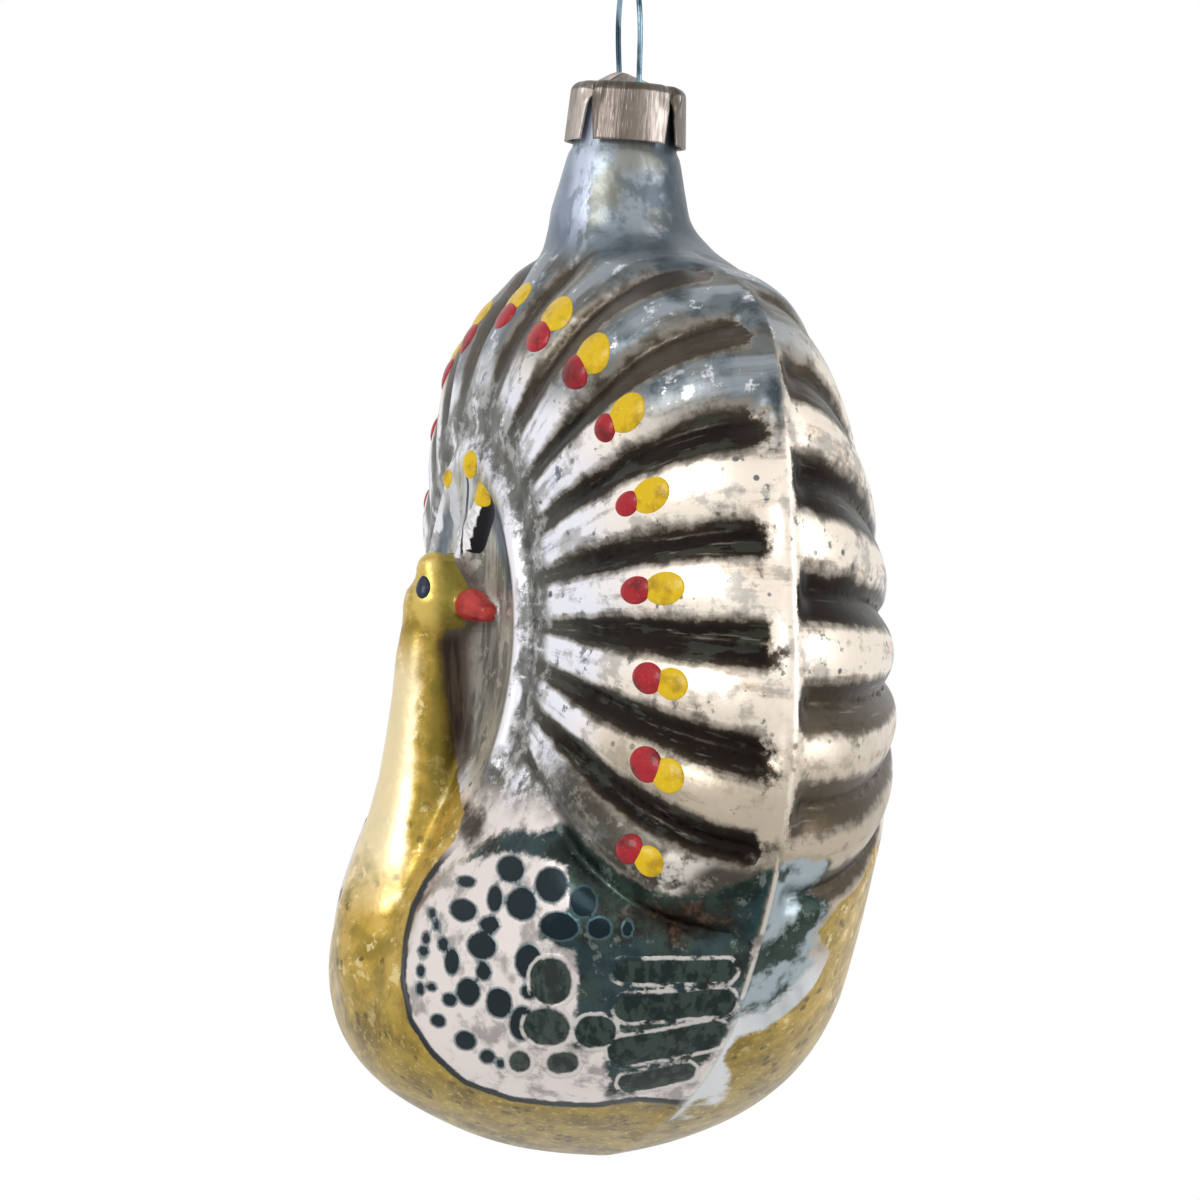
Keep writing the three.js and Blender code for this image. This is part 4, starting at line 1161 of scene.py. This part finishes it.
def drops_tree():
    """Flattened drops at the points of a mesh, pressed onto the glass so that they follow its ribs"""
    t = Tree("lacquer_drops", [
        ("Glass", "NodeSocketObject", None),
        ("Material", "NodeSocketMaterial", None),
        ("Search", "NodeSocketFloat", PRESS_REACH * MM),
        ("Rings", "NodeSocketInt", 14),
        ("Segments", "NodeSocketInt", 28),
    ])
    ball_inputs = {"Segments": t.given("Segments"), "Rings": t.given("Rings"), "Radius": 1.0}
    ball = t.node("GeometryNodeMeshUVSphere", None, ball_inputs)
    turn = t.node("FunctionNodeEulerToRotation", None, {0: t.attribute("turn")})
    inputs = {
        "Points": t.given("Geometry"),
        "Instance": ball,
        "Rotation": turn,
        "Scale": t.attribute("size"),
    }
    drops = t.node("GeometryNodeInstanceOnPoints", None, inputs)
    drops = t.node("GeometryNodeRealizeInstances", None, {"Geometry": drops})
    position = t.node("GeometryNodeInputPosition")
    aim = t.attribute("aim")
    off_anchor = t.vector_maths("SUBTRACT", position, t.attribute("anchor"))
    height = t.vector_maths("DOT_PRODUCT", off_anchor, aim, output=1)
    lift = t.vector_maths("SCALE", aim, scale=height)
    flat = t.vector_maths("SUBTRACT", position, lift)
    start = t.vector_maths("ADD", flat, t.vector_maths("SCALE", aim, scale=PRESS_FROM * MM))
    glass = t.node("GeometryNodeObjectInfo", None, {"Object": t.given("Glass")}, output=4)
    ray_inputs = {
        "Target Geometry": glass,
        "Source Position": start,
        "Ray Direction": t.vector_maths("SCALE", aim, scale=-1.0),
        "Ray Length": t.given("Search"),
    }
    hit = t.add("GeometryNodeRaycast", None, ray_inputs)
    pressed = t.vector_maths("ADD", hit.outputs["Hit Position"], lift)
    inputs = {"Geometry": drops, "Selection": hit.outputs["Is Hit"], "Position": pressed}
    drops = t.node("GeometryNodeSetPosition", None, inputs)
    drops = t.node("GeometryNodeSetShadeSmooth", None, {"Geometry": drops})
    drops = t.node("GeometryNodeSetMaterial", None, {"Geometry": drops, "Material": t.given("Material")})
    return t.close(drops)


def grown(source, tree, values):
    """The plain mesh that a Geometry Nodes tree makes from an object, which it replaces"""
    modifier = source.modifiers.new(tree.name, "NODES")
    modifier.node_group = tree
    names = {item.name: item.identifier for item in tree.interface.items_tree if item.in_out == "INPUT"}
    for label, value in values.items():
        modifier[names[label]] = value
    bpy.context.view_layer.update()
    evaluated = source.evaluated_get(bpy.context.evaluated_depsgraph_get())
    mesh = bpy.data.meshes.new_from_object(evaluated)
    name = source.name
    bpy.data.objects.remove(source)
    made = bpy.data.objects.new(name, mesh)
    bpy.context.scene.collection.objects.link(made)
    return made


def on_front(x, depth):
    """The outermost point of the glass straight ahead of a place on the front"""
    x, depth = np.asarray(x, float), np.asarray(depth, float)
    ys = np.arange(*FRONT_SEARCH)
    grid = np.stack(np.broadcast_arrays(x[:, None], ys[None, :], depth[:, None]), -1)
    first = np.argmax(field(grid) > 0, axis=1)
    points = np.stack([x, ys[first], depth], -1)
    return settle(points, 3)


def drops(name, places, sizes, towards, material, glass, tree, thickness):
    """Lacquer drops at places on the front, each with the first of its half sizes along a direction"""
    places = np.array(places, float)
    points, normals = on_front(places[:, 0], places[:, 1])
    made = mesh_object(name, to_model(points), [])
    aims = turn_to_model(normals)
    turns = []
    for aim, toward in zip(aims, towards):
        z = Vector(aim)
        x = Vector(turn_to_model(np.array([toward[0], 0.0, toward[1]])))
        x = (x - z * x.dot(z)).normalized()
        turns.append(Matrix((x, z.cross(x), z)).transposed().to_euler())
    set_values(made.data, "aim", aims)
    set_values(made.data, "anchor", to_model(points))
    set_values(made.data, "turn", np.array([list(turn) for turn in turns]))
    set_values(made.data, "size", np.array([(a, b, thickness) for a, b in sizes]) * MM)
    made = grown(made, tree, {"Glass": glass, "Material": material})
    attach(made, "glass")
    return made


def make_drops(glass):
    """The fan's eyes on both sides, the crest's tips and the bird's eye"""
    tree = drops_tree()
    red = drop_paint("red_lacquer", "AE1422", "6C0A14", "D24A50")
    yellow = drop_paint("yellow_lacquer", "EAC200", "BC9200", "FAE860")
    black = drop_paint("blue_black_lacquer", "1B2740", "0C111D", "3C4C68")
    rng = np.random.default_rng(SEED)
    places = {"red": [], "yellow": []}
    sizes = {"red": [], "yellow": []}
    towards = []
    for side in (1, -1):
        for rib, red_reach, yellow_reach, red_size, yellow_size in TAIL_EYES:
            if rib == 0 and side < 0:
                continue
            angle = math.radians(np.interp(rib, range(len(RIB_ANGLES)), RIB_ANGLES)) * side
            shift = rng.uniform(-FAR_EYES_SHIFT, FAR_EYES_SHIFT, 2)[0] if side < 0 else 0.0
            toward = (math.sin(angle), -math.cos(angle))
            for kind, reach, size in (("red", red_reach, red_size), ("yellow", yellow_reach, yellow_size)):
                reach += shift
                places[kind].append((reach * toward[0], FAN_DEPTH + reach * toward[1]))
                sizes[kind].append(size)
            towards.append(toward)
    crest_towards = [(tip[0] - CREST_ROOT[0], tip[1] - CREST_ROOT[1]) for tip in CREST_TIPS]
    for name, where, half_sizes, directions, material, thickness in (
        ("tail_eyes_yellow", places["yellow"], sizes["yellow"], towards, yellow, YELLOW_THICKNESS),
        ("tail_eyes_red", places["red"], sizes["red"], towards, red, RED_THICKNESS),
        ("crest_tips_yellow", CREST_DROPS, CREST_DROP_SIZES, crest_towards, yellow, CREST_DROP_THICKNESS),
        ("bird_eye", [EYE_PLACE], [EYE_SIZE], [EYE_TOWARD], black, EYE_THICKNESS),
    ):
        drops(name, where, half_sizes, directions, material, glass, tree, thickness)


# Cap
def cap_profile():
    """Radius and depth from near the middle of the crown, over the rounded edge and down the skirt"""
    profile = []
    for k in range(CROWN_ROWS):
        share = CROWN_START + (1 - CROWN_START) * k / CROWN_ROWS
        radius = (CAP_TOP_RADIUS - CAP_EDGE_ROUND) * share
        crown = CAP_CROWN_RISE * (1 - rise(0, CAP_CROWN_RADIUS, radius) ** 2)
        profile.append((radius, CAP_RIM_DEPTH - crown))
    for k in range(EDGE_ROWS + 1):
        turn = math.pi / 2 * k / EDGE_ROWS
        radius = CAP_TOP_RADIUS - CAP_EDGE_ROUND * (1 - math.sin(turn))
        profile.append((radius, CAP_RIM_DEPTH + CAP_EDGE_ROUND * (1 - math.cos(turn))))
    skirt = CAP_BOTTOM_DEPTH - CAP_RIM_DEPTH - CAP_EDGE_ROUND
    for k in range(1, SKIRT_ROWS + 1):
        share = k / SKIRT_ROWS
        radius = CAP_TOP_RADIUS + (CAP_SKIRT_RADIUS - CAP_TOP_RADIUS) * share
        profile.append((radius, CAP_RIM_DEPTH + CAP_EDGE_ROUND + skirt * share))
    return profile


def columns_off_slot(column):
    """How many columns a column is from the middle of the nearest slot"""
    return (column + COLUMNS_PER_SLOT // 2) % COLUMNS_PER_SLOT - COLUMNS_PER_SLOT // 2


def cap_point(radius, depth, column):
    """A point of the folded sheet, and its angle round the cap"""
    from_slot = columns_off_slot(column)
    slot = round((column - from_slot) / COLUMNS_PER_SLOT)
    below = np.clip((depth - SLOT_TOP_DEPTH) / SLOT_HEIGHT, 0, 1)
    # Angle from the middle of the nearest slot, with the slot's own columns kept inside its width
    half_slot = 0.5 * (SLOT_TOP_WIDTH + (SLOT_BOTTOM_WIDTH - SLOT_TOP_WIDTH) * below) / radius
    half_grid = SLOT_COLUMNS / 2
    if abs(from_slot) <= half_grid:
        offset = from_slot / half_grid * half_slot
    else:
        share = (abs(from_slot) - half_grid) / (COLUMNS_PER_SLOT / 2 - half_grid)
        offset = math.copysign(half_slot + (math.pi / SLOT_COUNT - half_slot) * share, from_slot)
    angle = SLOT_START + 2 * math.pi * slot / SLOT_COUNT + offset
    away = abs(offset) * radius
    near_top = bump(depth - SLOT_TOP_DEPTH + FOLD_ABOVE, FOLD_HEIGHT)
    outward = FOLD_OUT * bump(away - FOLD_OUT_PLACE, FOLD_OUT_WIDTH)
    fold = near_top * (outward - FOLD_IN * bump(away, FOLD_IN_WIDTH))
    bend = SLOT_EDGE_IN * (1 - (from_slot / COLUMNS_PER_SLOT * 2) ** 2) * below
    out = radius + fold - bend * bump(away, SLOT_EDGE_WIDTH)
    across, back = out * math.sin(angle), -out * math.cos(angle)
    hump = CAP_HUMP_RISE * bump(math.hypot(across - CAP_HUMP[0], back - CAP_HUMP[1]), CAP_HUMP_WIDTH)
    down = FOLD_DOWN * near_top * bump(away, FOLD_DOWN_WIDTH)
    return (across, back, depth - hump + down), angle


def make_cap():
    """A stamped cup with four slots, pinched where the metal folds at the top of each slot"""
    profile = cap_profile()
    points, faces, marks = [], [], []
    for radius, depth in profile:
        for column in range(CAP_COLUMNS):
            point, angle = cap_point(radius, depth, column)
            points.append(point)
            marks.append((angle, depth, 0.0))
    points.append((0.0, 0.0, CAP_RIM_DEPTH - CAP_CROWN_RISE))
    marks.append((0.0, CAP_RIM_DEPTH, 0.0))
    for row in range(len(profile) - 1):
        in_skirt = profile[row][1] >= SLOT_TOP_DEPTH - ROUNDING
        upper, lower = row * CAP_COLUMNS, (row + 1) * CAP_COLUMNS
        for i in range(CAP_COLUMNS):
            if in_skirt and -SLOT_COLUMNS / 2 <= columns_off_slot(i) < SLOT_COLUMNS / 2:
                continue
            j = (i + 1) % CAP_COLUMNS
            faces.append((upper + i, upper + j, lower + j, lower + i))
    centre = len(profile) * CAP_COLUMNS
    faces.extend((centre, (i + 1) % CAP_COLUMNS, i) for i in range(CAP_COLUMNS))
    cap = mesh_object("cap_stamped", to_model(points), faces)
    set_values(cap.data, "cap_place", marks)
    angles, depths, _ = np.array(marks).T
    panel_place = (angles - SLOT_START) / (2 * math.pi / SLOT_COUNT) % 1.0
    set_values(cap.data, "cap_across", 2 * panel_place - 1)
    top_edge = EDGE_DARKENING * bump(depths - CAP_RIM_DEPTH - EDGE_DARKENING_PLACE, EDGE_DARKENING_WIDTH)
    set_values(cap.data, "cap_dirt", top_edge + SLOT_DARKENING * (panel_place < SLOT_DARKENING_WIDTH))
    wall = cap.modifiers.new("sheet", "SOLIDIFY")
    wall.thickness = CAP_SHEET * MM
    wall.offset = -1.0
    cap.data.materials.append(cap_paint())
    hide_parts("cap")
    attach(cap, "cap")
    return cap


# Hanger
def wire_tree():
    t = Tree("drawn_wire", [
        ("Radius", "NodeSocketFloat", WIRE_RADIUS * MM),
        ("Sides", "NodeSocketInt", 16),
        ("Material", "NodeSocketMaterial", None),
    ])
    line = t.node("GeometryNodeMeshToCurve", None, {0: t.given("Geometry")})
    ring_inputs = {"Resolution": t.given("Sides"), "Radius": t.given("Radius")}
    ring = t.node("GeometryNodeCurvePrimitiveCircle", None, ring_inputs)
    tube = t.node("GeometryNodeCurveToMesh", None, {"Curve": line, "Profile Curve": ring, "Fill Caps": True})
    tube = t.node("GeometryNodeSetShadeSmooth", None, {"Geometry": tube})
    tube = t.node("GeometryNodeRealizeInstances", None, {"Geometry": tube})
    tube = t.node("GeometryNodeSetMaterial", None, {"Geometry": tube, "Material": t.given("Material")})
    return t.close(tube)


def make_wire():
    """One wire, up from one foot, round the loop and down to the other foot"""
    top_rise = LOOP_WIDEST_DEPTH + WIRE_RADIUS
    hole = HOLE_SPACING / 2
    half = [
        (hole + LEG_SPREAD, CAP_TOP_DEPTH + LEG_LENGTH),
        (hole + LEG_SPREAD / 3, CAP_TOP_DEPTH + LEG_LENGTH / 2),
        (hole, CAP_TOP_DEPTH),
    ]
    for turn in LOOP_TURNS:
        angle = math.radians(turn)
        half.append((LOOP_HALF_WIDTH * math.cos(angle), LOOP_WIDEST_DEPTH - top_rise * math.sin(angle)))
    knots = half + [(0.0, -WIRE_RADIUS)] + [(-x, depth) for x, depth in reversed(half)]
    rows = np.array(knots)
    padded = np.vstack([2 * rows[0] - rows[1], rows, 2 * rows[-1] - rows[-2]])
    line = []
    for k in range(len(rows) - 1):
        shares = np.linspace(0, 1, WIRE_STEPS, endpoint=False)
        line.extend(between(*padded[k : k + 4], share) for share in shares)
    line.append(rows[-1])
    points = [(x * MM, 0.0, -depth * MM) for x, depth in line]
    mesh = bpy.data.meshes.new("hanger_wire_drawn")
    mesh.from_pydata(points, [(k, k + 1) for k in range(len(points) - 1)], [])
    source = bpy.data.objects.new("hanger_wire_drawn", mesh)
    bpy.context.scene.collection.objects.link(source)
    wire = grown(source, wire_tree(), {"Material": wire_paint()})
    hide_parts("hanger_wire")
    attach(wire, "hanger")
    return wire


# Stage, light and camera
FLOOR_HEIGHT = -0.165
FLOOR_HALF_SIZE = 3.0
WORLD_LIGHT = 0.4
LAMP_TARGET = (0.0, 0.0, -0.06)
SENSOR_WIDTH = 36.0
NEAREST_SHOWN = 0.01


def make_stage():
    """A white floor and a white world, both dimmer in their light than they look"""
    size = FLOOR_HALF_SIZE
    corners = [(-size, -size), (size, -size), (size, size), (-size, size)]
    floor = mesh_object("floor", [(x, y, FLOOR_HEIGHT) for x, y in corners], [(0, 1, 2, 3)], smooth=False)
    p = Paint("pale_floor")
    light = p.node("ShaderNodeLightPath", output=0)
    glossy = p.node("ShaderNodeLightPath", output=3)
    shown = p.most(light, glossy)
    base = p.node("ShaderNodeBsdfDiffuse", None, {"Color": (0.9, 0.9, 0.9, 1.0)})
    white = p.node("ShaderNodeEmission", None, {"Color": (1.0, 1.0, 1.0, 1.0), "Strength": 1.0})
    mixed = p.node("ShaderNodeMixShader", None, {0: shown, 1: base, 2: white})
    p.node("ShaderNodeOutputMaterial", None, {"Surface": mixed})
    floor.data.materials.append(p.material)

    world = bpy.data.worlds.new("studio")
    bpy.context.scene.world = world
    world.use_nodes = True
    tree = world.node_tree
    tree.nodes.clear()
    path = tree.nodes.new("ShaderNodeLightPath")
    seen = tree.nodes.new("ShaderNodeMath")
    seen.operation = "MAXIMUM"
    tree.links.new(path.outputs["Is Camera Ray"], seen.inputs[0])
    tree.links.new(path.outputs["Is Glossy Ray"], seen.inputs[1])
    strength = tree.nodes.new("ShaderNodeMapRange")
    strength.inputs["To Min"].default_value = WORLD_LIGHT
    strength.inputs["To Max"].default_value = 1.0
    tree.links.new(seen.outputs[0], strength.inputs["Value"])
    background = tree.nodes.new("ShaderNodeBackground")
    background.inputs["Color"].default_value = (1.0, 1.0, 1.0, 1.0)
    tree.links.new(strength.outputs[0], background.inputs["Strength"])
    output = tree.nodes.new("ShaderNodeOutputWorld")
    tree.links.new(background.outputs[0], output.inputs["Surface"])


def make_lamp(name, place, size, power):
    data = bpy.data.lights.new(name, "AREA")
    data.size = size
    data.energy = power
    lamp = bpy.data.objects.new(name, data)
    lamp.location = place
    lamp.rotation_euler = (Vector(LAMP_TARGET) - lamp.location).to_track_quat("-Z", "Y").to_euler()
    bpy.context.scene.collection.objects.link(lamp)


def make_camera():
    """The photograph's view, fitted to the ornament's outline in the glass's own frame"""
    right = np.array([math.cos(CAMERA_AZIMUTH), math.sin(CAMERA_AZIMUTH), 0.0])
    ahead = np.array([-math.sin(CAMERA_AZIMUTH), math.cos(CAMERA_AZIMUTH), 0.0])
    up = np.array([0.0, 0.0, -1.0])
    aside = (AXIS_PIXEL - PHOTO_SIZE / 2) / PIXELS_PER_MM
    place = np.array([0.0, 0.0, MIDDLE_DEPTH]) - CAMERA_DISTANCE * ahead - aside * right
    turned_right = right * math.cos(CAMERA_ROLL) + up * math.sin(CAMERA_ROLL)
    turned_up = -right * math.sin(CAMERA_ROLL) + up * math.cos(CAMERA_ROLL)
    data = bpy.data.cameras.new("photo_camera")
    data.sensor_width = SENSOR_WIDTH
    data.lens = data.sensor_width * PIXELS_PER_MM * CAMERA_DISTANCE / PHOTO_SIZE
    data.clip_start = NEAREST_SHOWN
    camera = bpy.data.objects.new("photo_camera", data)
    axes = [Vector(turn_to_model(axis)) for axis in (turned_right, turned_up, -ahead)]
    camera.matrix_world = Matrix.Translation(Vector(to_model(place))) @ Matrix(axes).transposed().to_4x4()
    bpy.context.scene.collection.objects.link(camera)
    bpy.context.scene.camera = camera


make_camera()
make_stage()
make_lamp("key_lamp", (0.45, -1.0, 0.5), 0.5, 6.0)
make_lamp("side_lamp", (0.8, 0.75, 0.2), 0.6, 3.5)
glass_body = make_glass()
make_drops(glass_body)
make_cap()
make_wire()

bpy.context.scene.view_settings.view_transform = "Standard"
